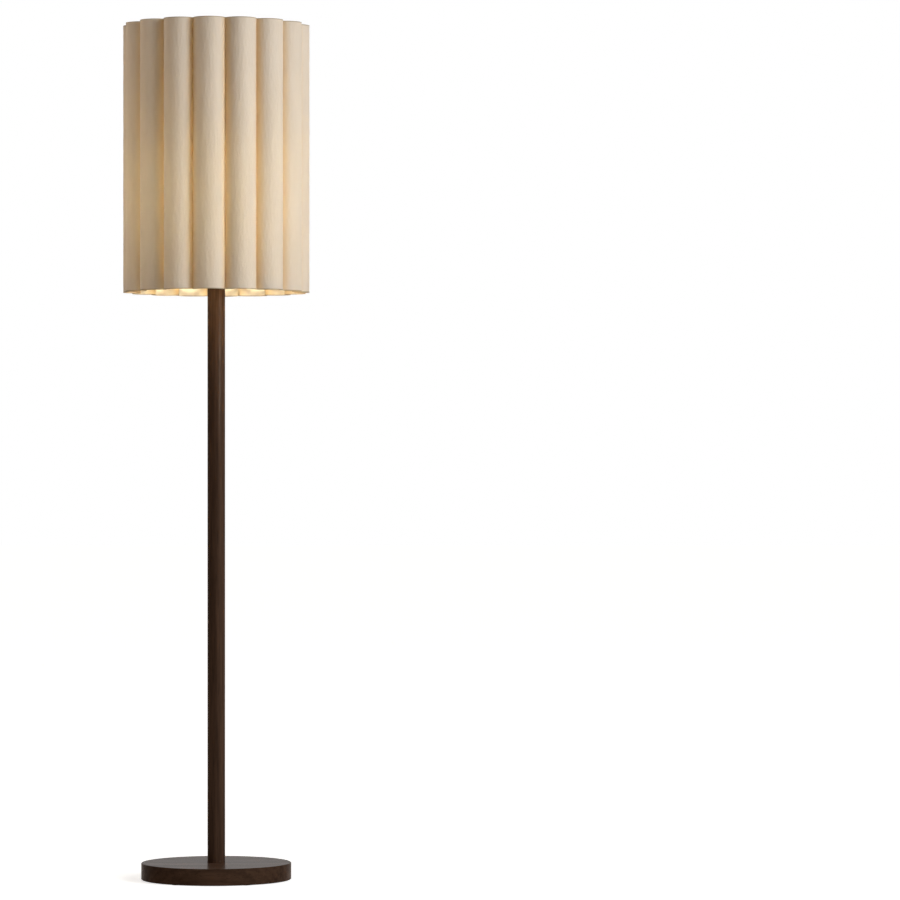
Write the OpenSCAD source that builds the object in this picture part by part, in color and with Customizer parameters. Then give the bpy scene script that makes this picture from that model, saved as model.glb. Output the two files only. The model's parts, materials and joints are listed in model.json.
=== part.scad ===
// Floor lamp: a round wooden pole on a round wooden base, with a fluted drum shade.
// Millimetres. +Z is up and the origin is on the floor, on the lamp's axis. The front is -Y.

/* [Base] */
// Diameter of the wooden base
base_d = 281; // [240:1:340]
// Thickness of the wooden base
base_t = 31; // [27:0.5:45]
// Width of the small bevel on the base's edges
base_bevel = 1; // [0.5:0.1:3]
// Wood left above the pocket in the underside
ceiling_t = 7; // [5:0.5:10]
// Thickness of the steel cover under the base
cover_t = 1.5; // [1:0.1:2]
// How far the cover laps the wood around the pocket
cover_lap = 8; // [7:0.5:9]
// Diameter of a cover screw
cover_screw_d = 3; // [2.5:0.1:3.5]
// Length of a cover screw
cover_screw_l = 11; // [8:0.5:14]
// Number of cover screws
cover_screws_n = 4; // [3:1:8]
// Diameter of a felt pad
foot_d = 16; // [12:0.5:18]
// Thickness of a felt pad
foot_t = 2.5; // [2:0.1:4]
// How far the pads stand out below the wood
foot_proud = 1; // [0.6:0.1:1.5]
// Wood left on each side of a felt pad
foot_margin = 3; // [2:0.5:10]
// Number of felt pads
feet_n = 6; // [3:1:12]

/* [Cord entry] */
// Bore of the cord gland
gland_bore_d = 7.2; // [6:0.1:8]
// Outer diameter of the gland's tube
gland_tube_d = 12; // [10:0.1:13]
// Diameter of the gland's flange
gland_flange_d = 17; // [15:0.5:20]
// Thickness of the gland's flange
gland_flange_t = 2.5; // [1.5:0.1:4]
// Width across the flats of the gland's nut
gland_nut_af = 17; // [16:0.5:19]
// Thickness of the gland's nut
gland_nut_t = 4; // [3:0.1:5]
// Width of the terminal block
block_w = 24; // [22:0.5:30]
// Length of the terminal block along the wires
block_l = 18; // [16:0.5:22]
// Height of the terminal block
block_h = 12; // [11:0.5:14]
// Distance between the block's two ways
block_pitch = 10; // [9:0.5:12]
// Outer diameter of a brass tube in the block
tube_d = 5.2; // [4.6:0.1:5.6]
// Bore of a brass tube in the block
tube_bore_d = 3.2; // [2.8:0.1:3.6]
// Diameter of a clamping screw in the block
clamp_screw_d = 2.8; // [2.4:0.1:3]
// Diameter of the internal lead
lead_d = 3.6; // [3:0.1:4.5]
// Diameter of one insulated core of the lead
core_d = 1.6; // [1.2:0.1:1.8]

/* [Pole] */
// Diameter of the wooden pole
pole_d = 33; // [28:0.5:45]
// Length of the wooden pole
pole_l = 1111; // [700:1:1400]
// Depth of the seat in the base that the pole stands in
pole_seat = 3; // [2:0.5:4]
// Thickness of the brass plate on top of the pole
pole_cap_t = 3; // [2:0.5:5]
// Outer diameter of the threaded pipe
pipe_d = 10; // [9:0.1:12]
// Bore of the threaded pipe
pipe_bore_d = 7; // [6:0.1:8]
// Width across the flats of the pipe's nuts
pipe_nut_af = 15; // [14:0.5:18]
// Thickness of the nut at the pipe's foot
bottom_nut_t = 4; // [3:0.1:5]
// Thickness of the nut at the pipe's top
top_nut_t = 5; // [4:0.1:7]
// Diameter of the washer at the pipe's foot
washer_d = 26; // [20:0.5:36]
// Thickness of the washer at the pipe's foot
washer_t = 1.6; // [1:0.1:2.5]

/* [Lamp holder] */
// Outer diameter of the lamp holder's shell
shell_d = 32.6; // [31.6:0.1:36]
// Wall of the lamp holder's shell and cap
shell_t = 0.8; // [0.6:0.05:1]
// Height of the lamp holder's shell
shell_h = 48; // [46:0.5:54]
// Height of the threaded neck of the holder's cap
neck_h = 10; // [8:0.5:14]
// Height of the cap's cone
cone_h = 6; // [4:0.5:9]
// How far the cap's rim laps the shell
cap_lap = 8; // [6:0.5:10]
// Height of the insulating body in the holder
body_h = 21; // [19:0.5:23]
// Bore of the screw shell that takes the bulb
socket_d = 26.7; // [26.5:0.05:26.9]
// Depth of the screw shell
socket_h = 25; // [22:0.5:27]
// Wall of the screw shell
socket_t = 0.5; // [0.4:0.05:0.7]
// Diameter of the switch's shaft
shaft_d = 3; // [2.5:0.1:4]
// Diameter of the switch's knob
knob_d = 13; // [11:0.5:16]
// Length of the switch's knob
knob_l = 14; // [11:0.5:18]
// Number of grooves around the knob
knob_grooves_n = 16; // [10:1:24]

/* [Bulb] */
// Diameter of the bulb's screw cap
bulb_cap_d = 26.1; // [25.9:0.05:26.2]
// Height of the bulb's screw cap
bulb_cap_h = 20; // [18:0.5:23]
// Diameter of the bulb at its widest
bulb_d = 60; // [50:1:70]
// Length of the bulb with its cap
bulb_l = 110; // [100:1:130]
// Wall of the bulb's body and dome
bulb_t = 1.2; // [0.8:0.1:1.6]
// Height of the joint of body and dome above the bulb's foot
bulb_joint_h = 64; // [58:1:70]

/* [Harp] */
// Distance between the harp's legs at the saddle
saddle_w = 56; // [52:1:64]
// Thickness of the saddle's strip
saddle_t = 1.6; // [1.2:0.1:2.4]
// Width of the saddle's strip
saddle_strip_w = 14; // [13:0.5:16]
// Height of the saddle's pins above its strip
saddle_pin_h = 13.1; // [11:0.1:18]
// Diameter of the harp's wire and of the saddle's pins
harp_wire_d = 4; // [3:0.1:5]
// Distance between the harp's legs at its widest
harp_w = 112; // [100:1:130]
// Height of the harp from its leg ends to its shoulder
harp_h = 388; // [300:1:450]
// Length of a locking sleeve
sleeve_l = 14; // [12:0.5:18]
// Outer diameter of a locking sleeve
sleeve_d = 6.8; // [6.4:0.1:8]
// Diameter of the harp's stud
stud_d = 6.35; // [5:0.05:8]
// Height of the harp's stud above its shoulder
stud_h = 12; // [8:0.5:16]
// Diameter of the harp's shoulder
shoulder_d = 16; // [14:0.5:20]
// Height of the finial
finial_h = 26; // [22:0.5:36]
// Diameter of the finial's ball
finial_d = 18; // [14:0.5:24]

/* [Shade] */
// Diameter of the shade over the crests of its flutes
shade_d = 350; // [320:1:450]
// Height of the shade
shade_h = 500; // [300:1:600]
// Number of flutes around the shade
flutes_n = 16; // [14:1:18]
// How far the valleys between the flutes lie inside the crests
flute_depth = 22; // [15:0.5:23]
// Thickness of the laminated sheet that the flutes are made of
sheet_t = 1.6; // [1:0.1:2.5]
// How far the spider's washer lies below the shade's top edge
spider_drop = 52; // [35:1:80]
// Diameter of the spider's washer
spider_washer_d = 32; // [26:0.5:40]
// Thickness of the spider's washer
spider_washer_t = 2; // [1.5:0.1:3]
// Diameter of the wire of the spider and of the two rings
ring_wire_d = 4; // [3:0.1:5]
// Number of the spider's arms
arms_n = 3; // [3:1:4]
// Depth of the top ring below the shade's top edge
top_ring_depth = 8; // [5:0.5:20]
// Height of the bottom ring above the shade's bottom edge
bottom_ring_rise = 30; // [24:0.5:60]

/* [Clearances] */
// Radial clearance of a fixed round fit
fit_gap = 0.1; // [0.05:0.01:0.2]
// Radial clearance of a turning or sliding fit
run_gap = 0.08; // [0.03:0.01:0.1]
// Gap between a moving piece and what it rests on
rest_gap = 0.3; // [0.2:0.05:0.5]

/* [Hidden] */
function flute_name(i) = str("flute_", i < 9 ? "0" : "", i + 1);
$fn = 96;
// Small overlap that makes a cut pass right through a face
cut = 1;
// Largest turn between two rings of a bent wire, in degrees
bend_step = 10;

// Heights in the base, from the floor up
base_z0 = foot_proud;
base_z1 = base_z0 + base_t;
cover_z1 = base_z0 + cover_t;
ceiling_z = base_z1 - ceiling_t;
// Room kept under the pipe's nut for the lead, with a little air below and above it
lead_air = 1.2;
lead_z = cover_z1 + lead_air + lead_d / 2;
nut_z0 = lead_z + lead_d / 2 + lead_air;
washer_z0 = nut_z0 + bottom_nut_t;
weight_z0 = washer_z0 + washer_t;
weight_t = ceiling_z - weight_z0;
// Gap between the weight and the pocket's wall
weight_gap = 2;

// Base, seen from below: a rim that carries the pads, the rebate of the cover, and the pocket
foot_ring_r = base_d / 2 - foot_margin - foot_d / 2;
rebate_d = base_d - 2 * foot_d - 4 * foot_margin;
pocket_d = rebate_d - 2 * cover_lap;
cover_screw_r = (rebate_d + pocket_d) / 4;
cover_head_d = 2 * cover_screw_d;

// Cord entry at the back, with its nut just below the pocket's ceiling
gland_z = ceiling_z - gland_nut_af / 2 - fit_gap;
// How far the gland's tube reaches past its nut
gland_tail = 3;
gland_nut_r = gland_nut_af / 2 / cos(30);
// The nut's corners touch the round wall of the pocket
gland_nut_y1 = sqrt(pow(pocket_d / 2, 2) - pow(gland_nut_r, 2)) - fit_gap;
gland_y0 = gland_nut_y1 - gland_nut_t - gland_tail;
gland_y1 = base_d / 2;

// Terminal block under the pocket's ceiling, with its ways at half its height
way_z = ceiling_z - block_h / 2;
// Room for bending the wires between the gland and the block
wire_room = 6;
block_y1 = gland_y0 - wire_room;
block_y0 = block_y1 - block_l;
block_y = block_y0 + block_l / 2;
block_z0 = ceiling_z - block_h;
// How far the brass tubes lie inside the block's ends
tube_inset = 1;
// How deep the clamping screws' heads lie in the block
clamp_sink = 0.5;
block_screw_d = 3;
block_screw_head_d = 5.4;
block_screw_head_t = 1.8;
// Wood left above the hole of the block's screw, and air at the screw's tip
block_screw_skin = 1.5;
screw_tip_air = 0.5;
block_screw_z1 = base_z1 - block_screw_skin - screw_tip_air;
// A cross slot's length as a share of the screw's head, and its depth
slot_share = 0.6;
slot_depth = 0.7;
// Distance of a clamping screw from the block's middle, along the wires
clamp_screw_y = block_l / 4;

// Route of the internal lead: down the pipe, along under the weight, up to the block's ways
lead_bend_r = 4;
core_spread_l = 8;
core_grip_l = 6;
lead_rise = way_z - lead_z;
// Two opposite bends of 60 degrees with this radius climb exactly the rise
s_bend_a = 60;
s_bend_r = lead_rise / (2 * (1 - cos(s_bend_a)));
s_bend_l = 2 * s_bend_r * sin(s_bend_a);
lead_end_y = block_y0 - core_spread_l;
s_bend_y0 = lead_end_y - s_bend_l;
// Room beside the terminal block in the weight's notch
notch_room = 10;
notch_w = block_w + 2 * notch_room;
notch_y0 = s_bend_y0;

// Heights from the pole up
pole_z0 = base_z1 - pole_seat;
pole_z1 = pole_z0 + pole_l;
saddle_z0 = pole_z1 + pole_cap_t;
saddle_z1 = saddle_z0 + saddle_t;
holder_z0 = saddle_z1 + top_nut_t;
// How far the pipe ends below the top of the holder's neck
pipe_short = 1;
pipe_z1 = holder_z0 + neck_h - pipe_short;
pole_cap_bevel = 0.5;

// Lamp holder, upwards from its foot
cap_rim_d = shell_d + 2 * fit_gap + 2 * shell_t;
neck_t = 3;
neck_d = pipe_d + 2 * neck_t;
shell_z0 = holder_z0 + neck_h + cone_h;
shell_z1 = shell_z0 + shell_h;
cap_z1 = shell_z0 + cap_lap;
liner_t = 0.8;
liner_d = shell_d - 2 * shell_t - 2 * fit_gap;
body_d = liner_d - 2 * liner_t - 2 * fit_gap;
body_z1 = shell_z0 + body_h;
socket_z1 = body_z1 + socket_h;
shaft_z = shell_z0 + body_h / 2;
// Air around the shaft where it passes the shell and its liner
shaft_air = 1;
shaft_hole_d = shaft_d + 2 * shaft_air;
// How far the liner ends below the shell's rim
liner_short = 1;
// Centre contact: a foot let into the body, and a narrower button on it
contact_h = 3;
contact_d = 7;
contact_seat = 1;
contact_foot_t = 0.6;
contact_step = 1;
// Air between the contact and the hole in the screw shell's floor
contact_air = 1.5;
// Air between the knob and the holder's shell, and the knob's end wall
knob_air = 3;
knob_wall = 3;
knob_bevel = 0.8;
knob_y1 = -shell_d / 2 - knob_air;
knob_y0 = knob_y1 - knob_l;
shaft_y0 = knob_y0 + knob_wall;
// The shaft ends in the middle of the body's front half, with a little air behind it
shaft_y1 = -body_d / 4;
shaft_end_air = 1;
groove_d = 1.4;
// Plain collar of the knob beside its grooves
knob_collar = 3;

// Bulb, upwards from the tip of its contact
bulb_z0 = body_z1 + contact_h + rest_gap;
tip_h = 1.6;
insulator_h = 4;
bulb_cap_z0 = bulb_z0 + tip_h + insulator_h;
bulb_cap_z1 = bulb_cap_z0 + bulb_cap_h;
bulb_cap_t = 0.6;
bulb_joint_z = bulb_z0 + bulb_joint_h;
bulb_top_z = bulb_z0 + bulb_l;
bulb_contact_d = 9;
// The contact widens by this much towards the insulator, and the insulator starts as much wider
bulb_contact_step = 3;
insulator_top_d = bulb_cap_d - bulb_contact_step;
board_t = 1.6;
driver_t = 1.6;
driver_air = 1;
// Parts on the driver's board: a round can on its back and a flat coil on its front
can_d = 6;
can_h = 14;
can_z = 8;
coil_size = [8, 4, 7];
coil_z = 10;

// Harp
pin_z1 = saddle_z1 + saddle_pin_h;
leg_z0 = pin_z1 + rest_gap;
shoulder_z = leg_z0 + harp_h;
saddle_boss_d = 7;
// Half of each sleeve sits on the pin, and the saddle's boss ends just below it
sleeve_z0 = pin_z1 - sleeve_l / 2;
saddle_boss_z1 = sleeve_z0 - rest_gap;
sleeve_travel = 12;
// Straight wire left above a raised sleeve
leg_spare = 4;
shoulder_t = 2 * harp_wire_d;
harp_top_z = shoulder_z - shoulder_t / 2;
// Straight part of a leg that the raised sleeve still needs
leg_straight = sleeve_l / 2 + sleeve_travel + leg_spare;
leg_bend_a = 40;
leg_bend_r = 25;
leg_step = (harp_w - saddle_w) / 2;
slant_l = (leg_step - 2 * leg_bend_r * (1 - cos(leg_bend_a))) / sin(leg_bend_a);
slant_z = leg_z0 + leg_straight + leg_bend_r * sin(leg_bend_a);
side_z0 = slant_z + slant_l * cos(leg_bend_a) + leg_bend_r * sin(leg_bend_a);
crown_r = (harp_w - shoulder_d) / 2;
side_z1 = harp_top_z - crown_r;

// Shade
washer_z1 = shoulder_z + spider_washer_t;
shade_z1 = washer_z1 + spider_drop;
shade_z0 = shade_z1 - shade_h;
crest_r = shade_d / 2;
half_a = 180 / flutes_n;
valley_r = crest_r - flute_depth;
// Centre and radius of the arc through a crest and the two valleys beside it
arc_c = (crest_r * crest_r - valley_r * valley_r) / (2 * (crest_r - valley_r * cos(half_a)));
arc_r = crest_r - arc_c;
arc_in_r = arc_r - sheet_t;
// Distance of a valley's plane from the arc's centre, and where the plane's nearest line to it lies
arc_side = arc_c * sin(half_a);
flute_x0 = arc_c * pow(cos(half_a), 2);
// Distance from the axis at which the sheet's inner faces meet in a valley, or else end beside it
inner_valley_r = arc_in_r > arc_side
    ? arc_c * cos(half_a) + sqrt(pow(arc_in_r, 2) - pow(arc_side, 2))
    : norm([flute_x0, sqrt(pow(arc_in_r, 2) - pow(arc_c - flute_x0, 2))]);
ring_r = inner_valley_r - ring_wire_d / 2 - fit_gap;
top_ring_z = shade_z1 - top_ring_depth;
bottom_ring_z = shade_z0 + bottom_ring_rise;
arm_bend_r = 12;
// How far an arm reaches in over the washer, and how deep its foot is sunk into the weld
arm_lap = 6;
arm_sink = 0.4;
// Gap at the weld between an arm's end and the top ring
weld_gap = 0.05;
stud_air = 0.6;
spider_hole_d = stud_d + 2 * stud_air;

// Finial: a foot, a waist and a ball, with a blind bore
finial_z0 = washer_z1 + rest_gap;
finial_foot_t = 3;
finial_bevel = 0.6;
finial_foot_wall = 4;
finial_waist_wall = 1.5;
finial_bore_air = 2;

// A plain rod of diameter d from z0 to z1 on the axis
module rod(d, z0, z1) {
    translate([0, 0, z0])
        cylinder(d = d, h = z1 - z0);
}

// A round tube from z0 to z1 on the axis
module tube(d, bore, z0, z1) {
    difference() {
        rod(d, z0, z1);
        rod(bore, z0 - cut, z1 + cut);
    }
}

// A disc whose two rims carry a bevel of width b
module bevelled_disc(d, z0, z1, b) {
    r = d / 2;
    rotate_extrude()
        polygon([[0, z0], [r - b, z0], [r, z0 + b], [r, z1 - b], [r - b, z1], [0, z1]]);
}

// A hexagon nut on the axis, width af across its flats
module hex_nut(af, bore, z0, z1) {
    difference() {
        translate([0, 0, z0])
            cylinder(d = af / cos(30), h = z1 - z0, $fn = 6);
        rod(bore, z0 - cut, z1 + cut);
    }
}

// A bend of a wire in the XZ plane, tangent to +Z at the origin, turning to +X
module wire_bend(wire_d, r, angle) {
    translate([r, 0, 0])
        rotate([90, 0, 0])
            rotate([0, 0, 180 - angle])
                rotate_extrude(angle = angle)
                    translate([r, 0])
                        circle(d = wire_d);
}

// Unit vector of a heading in a plane, in degrees from its second axis towards its first
function heading(a) = [sin(a), cos(a)];

// Points of a bend of radius r that starts at p with heading h and turns by a, towards the first axis
// if a is above 0; the last point is left to what follows
function bend_points(p, h, r, a, n) = [for (k = [0 : n - 1])
    p + sign(a) * r * (heading(h + 90) - heading(h + 90 + a * k / n))];

// Points of a route: each move is a straight length, then a bend's radius and the angle it turns
function route(p, h, moves, i = 0) = i == len(moves) ? [p] : let (
    length = moves[i][0],
    r = moves[i][1],
    a = moves[i][2],
    q = p + length * heading(h),
    n = ceil(abs(a) / bend_step),
    end = q + sign(a) * r * (heading(h + 90) - heading(h + 90 + a))
) concat(length > 0 ? [p] : [], bend_points(q, h, r, a, n), route(end, h + a, moves, i + 1));

// Direction of a line of points at point i
function line_heading(line, i) = let (
    before = line[i] - line[max(i - 1, 0)],
    after = line[min(i + 1, len(line) - 1)] - line[i],
    v = (i == 0 ? [0, 0] : before / norm(before)) + (i == len(line) - 1 ? [0, 0] : after / norm(after))
) v / norm(v);

// A round wire of diameter d along a line of points in the XZ plane
module wire_along(line, d, sides) {
    n = len(line);
    rings = [for (i = [0 : n - 1]) let (v = line_heading(line, i)) [for (k = [0 : sides - 1]) let (
        across = d / 2 * cos(360 * (k + 0.5) / sides),
        deep = d / 2 * sin(360 * (k + 0.5) / sides)
    ) [line[i].x + across * v.y, deep, line[i].y - across * v.x]]];
    walls = [for (i = [0 : n - 2], k = [0 : sides - 1]) let (
        a = i * sides + k,
        b = i * sides + (k + 1) % sides
    ) each [[a, a + sides, b + sides], [a, b + sides, b]]];
    foot = [for (k = [0 : sides - 1]) k];
    head = [for (k = [sides - 1 : -1 : 0]) (n - 1) * sides + k];
    polyhedron(points = [for (ring = rings) each ring], faces = concat(walls, [foot, head]));
}

// A straight rod of diameter d between two points
module rod_between(p, q, d) {
    v = q - p;
    length = norm(v);
    turn = atan2(v.y, v.x);
    tilt = acos(v.z / length);
    translate(p)
        rotate([0, tilt, turn])
            cylinder(d = d, h = length, $fn = 24);
}

// Places its children on a circle of radius r, n times, the first at angle a0
module around(n, r, a0) {
    for (i = [0 : n - 1])
        rotate([0, 0, a0 + i * 360 / n])
            translate([r, 0, 0])
                children();
}

// Wooden base with its pocket, the rebate for its cover and the holes for what goes through it
module base_disc() {
    color("#3a2418")
        difference() {
            bevelled_disc(base_d, base_z0, base_z1, base_bevel);
            rod(pocket_d, base_z0 - cut, ceiling_z);
            rod(rebate_d + 2 * fit_gap, base_z0 - cut, cover_z1);
            rod(pole_d + 2 * fit_gap, pole_z0, base_z1 + cut);
            rod(pipe_d + 2 * fit_gap, ceiling_z - cut, base_z1);
            around(feet_n, foot_ring_r, 0)
                rod(foot_d + 2 * fit_gap, base_z0 - cut, foot_t);
            around(cover_screws_n, cover_screw_r, 45)
                rod(cover_screw_d + 2 * run_gap, base_z0, base_z0 + cover_screw_l + cut);
            translate([0, block_y, 0])
                rod(block_screw_d + 2 * run_gap, ceiling_z - cut, block_screw_z1 + screw_tip_air);
            gland_hole();
        }
}

// The hole for the gland's tube and the seat of its flange
module gland_hole() {
    translate([0, gland_y1, gland_z])
        rotate([90, 0, 0]) {
            translate([0, 0, -cut])
                cylinder(d = gland_flange_d + 2 * fit_gap, h = gland_flange_t + cut);
            cylinder(d = gland_tube_d + 2 * fit_gap, h = base_d / 2 - gland_y0);
        }
}

module felt_feet() {
    color("#4a4642")
        around(feet_n, foot_ring_r, 0)
            rod(foot_d, 0, foot_t);
}

// Ballast plate with a notch at the back for the terminal block, the gland's nut and the lead
module base_weight() {
    color("#5b5e62")
        difference() {
            rod(pocket_d - 2 * weight_gap, weight_z0, ceiling_z);
            rod(pipe_d + 2 * fit_gap, weight_z0 - cut, ceiling_z + cut);
            translate([-notch_w / 2, notch_y0, weight_z0 - cut])
                cube([notch_w, pocket_d, weight_t + 2 * cut]);
        }
}

module base_cover() {
    color("#2a2a2b")
        difference() {
            rod(rebate_d, base_z0, cover_z1);
            around(cover_screws_n, cover_screw_r, 45)
                screw_sink(2 * fit_gap);
        }
}

// The countersunk space of a cover screw, wider than the screw by extra
module screw_sink(extra) {
    mouth = 0.1;
    widening = mouth * (cover_head_d - cover_screw_d) / cover_t;
    rod(cover_screw_d + extra, base_z0 - cut, cover_z1 + cut);
    translate([0, 0, base_z0 - mouth])
        cylinder(d1 = cover_head_d + extra + widening, d2 = cover_screw_d + extra, h = cover_t + mouth);
}

module cover_screws() {
    color("#8d9094")
        around(cover_screws_n, cover_screw_r, 45)
            difference() {
                union() {
                    rod(cover_screw_d, base_z0, base_z0 + cover_screw_l);
                    translate([0, 0, base_z0])
                        cylinder(d1 = cover_head_d, d2 = cover_screw_d, h = cover_t);
                }
                cross_slot(cover_head_d, base_z0);
            }
}

// A cross slot cut upwards into a screw head of diameter d that faces down
module cross_slot(d, z0) {
    length = slot_share * d;
    width = length / 4;
    for (turn = [0, 90])
        rotate([0, 0, turn])
            translate([-length / 2, -width / 2, z0 - cut])
                cube([length, width, slot_depth + cut]);
}

// Flanged plastic bush through the base's rim, with a plain bore for the mains cord
module cord_gland() {
    color("#1c1c1d")
        translate([0, gland_y1, gland_z])
            rotate([90, 0, 0])
                difference() {
                    union() {
                        cylinder(d = gland_flange_d, h = gland_flange_t);
                        cylinder(d = gland_tube_d, h = gland_y1 - gland_y0);
                    }
                    translate([0, 0, -cut])
                        cylinder(d = gland_bore_d, h = gland_y1 - gland_y0 + 2 * cut);
                }
}

module gland_nut() {
    color("#1c1c1d")
        translate([0, gland_nut_y1, gland_z])
            rotate([90, 0, 0])
                hex_nut(gland_nut_af, gland_tube_d + 2 * run_gap, 0, gland_nut_t);
}

// Two-pole block that hangs from the pocket's ceiling
module terminal_block() {
    color("#d9d6cc")
        difference() {
            translate([-block_w / 2, block_y0, block_z0])
                cube([block_w, block_l, block_h]);
            block_ways(tube_d + 2 * fit_gap, block_l + 2 * cut);
            clamp_places()
                rod(clamp_screw_d + 2 * run_gap, block_z0 - cut, way_z);
            translate([0, block_y, 0])
                rod(block_screw_d + 2 * fit_gap, block_z0 - cut, ceiling_z + cut);
        }
}

// Two rods of diameter d along the block's two ways
module block_ways(d, length) {
    for (side = [-1, 1])
        translate([side * block_pitch / 2, block_y + length / 2, way_z])
            rotate([90, 0, 0])
                cylinder(d = d, h = length);
}

// The four places of the clamping screws
module clamp_places() {
    for (side = [-1, 1], end = [-1, 1])
        translate([side * block_pitch / 2, block_y + end * clamp_screw_y, 0])
            children();
}

module terminal_tubes() {
    color("#c9a24a")
        difference() {
            block_ways(tube_d, block_l - 2 * tube_inset);
            block_ways(tube_bore_d, block_l + 2 * cut);
            clamp_places()
                rod(clamp_screw_d + 2 * run_gap, way_z - tube_d, way_z);
        }
}

module terminal_screws() {
    color("#8d9094")
        clamp_places()
            difference() {
                rod(clamp_screw_d, block_z0 + clamp_sink, way_z - core_d / 2 - fit_gap);
                cross_slot(clamp_screw_d, block_z0 + clamp_sink);
            }
}

module block_screw() {
    color("#8d9094")
        translate([0, block_y, 0])
            difference() {
                union() {
                    rod(block_screw_d, block_z0, block_screw_z1);
                    rod(block_screw_head_d, block_z0 - block_screw_head_t, block_z0);
                }
                cross_slot(block_screw_head_d, block_z0 - block_screw_head_t);
            }
}

// Lead from the holder's body down the pipe and along the pocket to the terminal block
module internal_lead() {
    top_z = shell_z0 - fit_gap;
    line = route([0, top_z], 180, [
        [top_z - lead_z - lead_bend_r, lead_bend_r, -90],
        [s_bend_y0 - lead_bend_r, s_bend_r, -s_bend_a],
        [0, s_bend_r, s_bend_a]
    ]);
    color("#e4e2dc")
        union() {
            rotate([0, 0, 90])
                wire_along(line, lead_d, 8);
            for (side = [-1, 1])
                lead_core(side);
        }
}

// One core that spreads from the lead's end into its way of the block
module lead_core(side) {
    start_x = side * core_d / 2;
    way_x = side * block_pitch / 2;
    rod_between([start_x, lead_end_y - core_d, way_z], [way_x, block_y0, way_z], core_d);
    rod_between([way_x, block_y0 - core_d / 4, way_z], [way_x, block_y0 + core_grip_l, way_z], core_d);
}

module lamp_pipe() {
    color("#b9a06a")
        tube(pipe_d, pipe_bore_d, nut_z0, pipe_z1);
}

module bottom_washer() {
    color("#8d9094")
        tube(washer_d, pipe_d + 2 * fit_gap, washer_z0, weight_z0);
}

module bottom_nut() {
    color("#8d9094")
        hex_nut(pipe_nut_af, pipe_d + 2 * run_gap, nut_z0, washer_z0);
}

module pole() {
    color("#3a2418")
        tube(pole_d, pipe_d + 2 * fit_gap, pole_z0, pole_z1);
}

module pole_cap() {
    color("#c9a24a")
        difference() {
            bevelled_disc(pole_d, pole_z1, saddle_z0, pole_cap_bevel);
            rod(pipe_d + 2 * fit_gap, pole_z1 - cut, saddle_z0 + cut);
        }
}

// Strip under the holder, with a boss and a pin at each end for the harp's legs
module harp_saddle() {
    color("#c9a24a")
        difference() {
            union() {
                translate([-saddle_w / 2, -saddle_strip_w / 2, saddle_z0])
                    cube([saddle_w, saddle_strip_w, saddle_t]);
                for (side = [-1, 1])
                    translate([side * saddle_w / 2, 0, 0]) {
                        rod(saddle_strip_w, saddle_z0, saddle_z1);
                        rod(saddle_boss_d, saddle_z0, saddle_boss_z1);
                        rod(harp_wire_d, saddle_z0, pin_z1);
                    }
            }
            rod(pipe_d + 2 * fit_gap, saddle_z0 - cut, saddle_z1 + cut);
        }
}

module top_nut() {
    color("#8d9094")
        hex_nut(pipe_nut_af, pipe_d + 2 * run_gap, saddle_z1, holder_z0);
}

// Cup that screws onto the pipe and holds the shell in its rim
module holder_cap() {
    rim_r = cap_rim_d / 2;
    neck_r = neck_d / 2;
    bore_r = pipe_d / 2 + run_gap;
    neck_z = holder_z0 + neck_h;
    color("#c9a24a")
        rotate_extrude()
            polygon([
                [bore_r, holder_z0],
                [neck_r, holder_z0],
                [neck_r, neck_z - shell_t],
                [rim_r, shell_z0 - shell_t],
                [rim_r, cap_z1],
                [rim_r - shell_t, cap_z1],
                [rim_r - shell_t, shell_z0],
                [neck_r, neck_z],
                [bore_r, neck_z]
            ]);
}

// The shaft's way through the holder's wall
module shaft_hole(d) {
    translate([0, 0, shaft_z])
        rotate([90, 0, 0])
            cylinder(d = d, h = shell_d);
}

module holder_shell() {
    color("#c9a24a")
        difference() {
            tube(shell_d, shell_d - 2 * shell_t, shell_z0, shell_z1);
            shaft_hole(shaft_hole_d);
        }
}

module shell_liner() {
    color("#2b2622")
        difference() {
            tube(liner_d, liner_d - 2 * liner_t, shell_z0, shell_z1 - liner_short);
            shaft_hole(shaft_hole_d);
        }
}

module holder_body() {
    color("#2b2622")
        difference() {
            rod(body_d, shell_z0, body_z1);
            rod(contact_d + 2 * fit_gap, body_z1 - contact_seat, body_z1 + cut);
            translate([0, shaft_y1 + shaft_end_air, shaft_z])
                rotate([90, 0, 0])
                    cylinder(d = shaft_d + 2 * run_gap, h = body_d);
        }
}

// Brass cup that the bulb's cap goes into
module screw_shell() {
    color("#c9a24a")
        difference() {
            rod(socket_d + 2 * socket_t, body_z1, socket_z1);
            rod(socket_d, body_z1 + socket_t, socket_z1 + cut);
            rod(contact_d + 2 * contact_air, body_z1 - cut, socket_z1);
        }
}

module centre_contact() {
    color("#c9a24a")
        union() {
            rod(contact_d, body_z1 - contact_seat, body_z1 + contact_foot_t);
            rod(contact_d - 2 * contact_step, body_z1, body_z1 + contact_h);
        }
}

module switch_shaft() {
    color("#8d9094")
        translate([0, shaft_y1, shaft_z])
            rotate([90, 0, 0])
                cylinder(d = shaft_d, h = shaft_y1 - shaft_y0);
}

// Grooved knob with a blind bore for the shaft
module switch_knob() {
    color("#1c1c1d")
        translate([0, knob_y1, shaft_z])
            rotate([90, 0, 0])
                difference() {
                    bevelled_disc(knob_d, 0, knob_l, knob_bevel);
                    translate([0, 0, -cut])
                        cylinder(d = shaft_d + 2 * run_gap, h = knob_y1 - shaft_y0 + cut + fit_gap);
                    around(knob_grooves_n, knob_d / 2 + groove_d / 4, 0)
                        translate([0, 0, knob_collar])
                            cylinder(d = groove_d, h = knob_l, $fn = 16);
                }
}

module bulb_contact() {
    color("#c9a24a")
        translate([0, 0, bulb_z0])
            cylinder(d1 = bulb_contact_d - bulb_contact_step, d2 = bulb_contact_d, h = tip_h);
}

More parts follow.
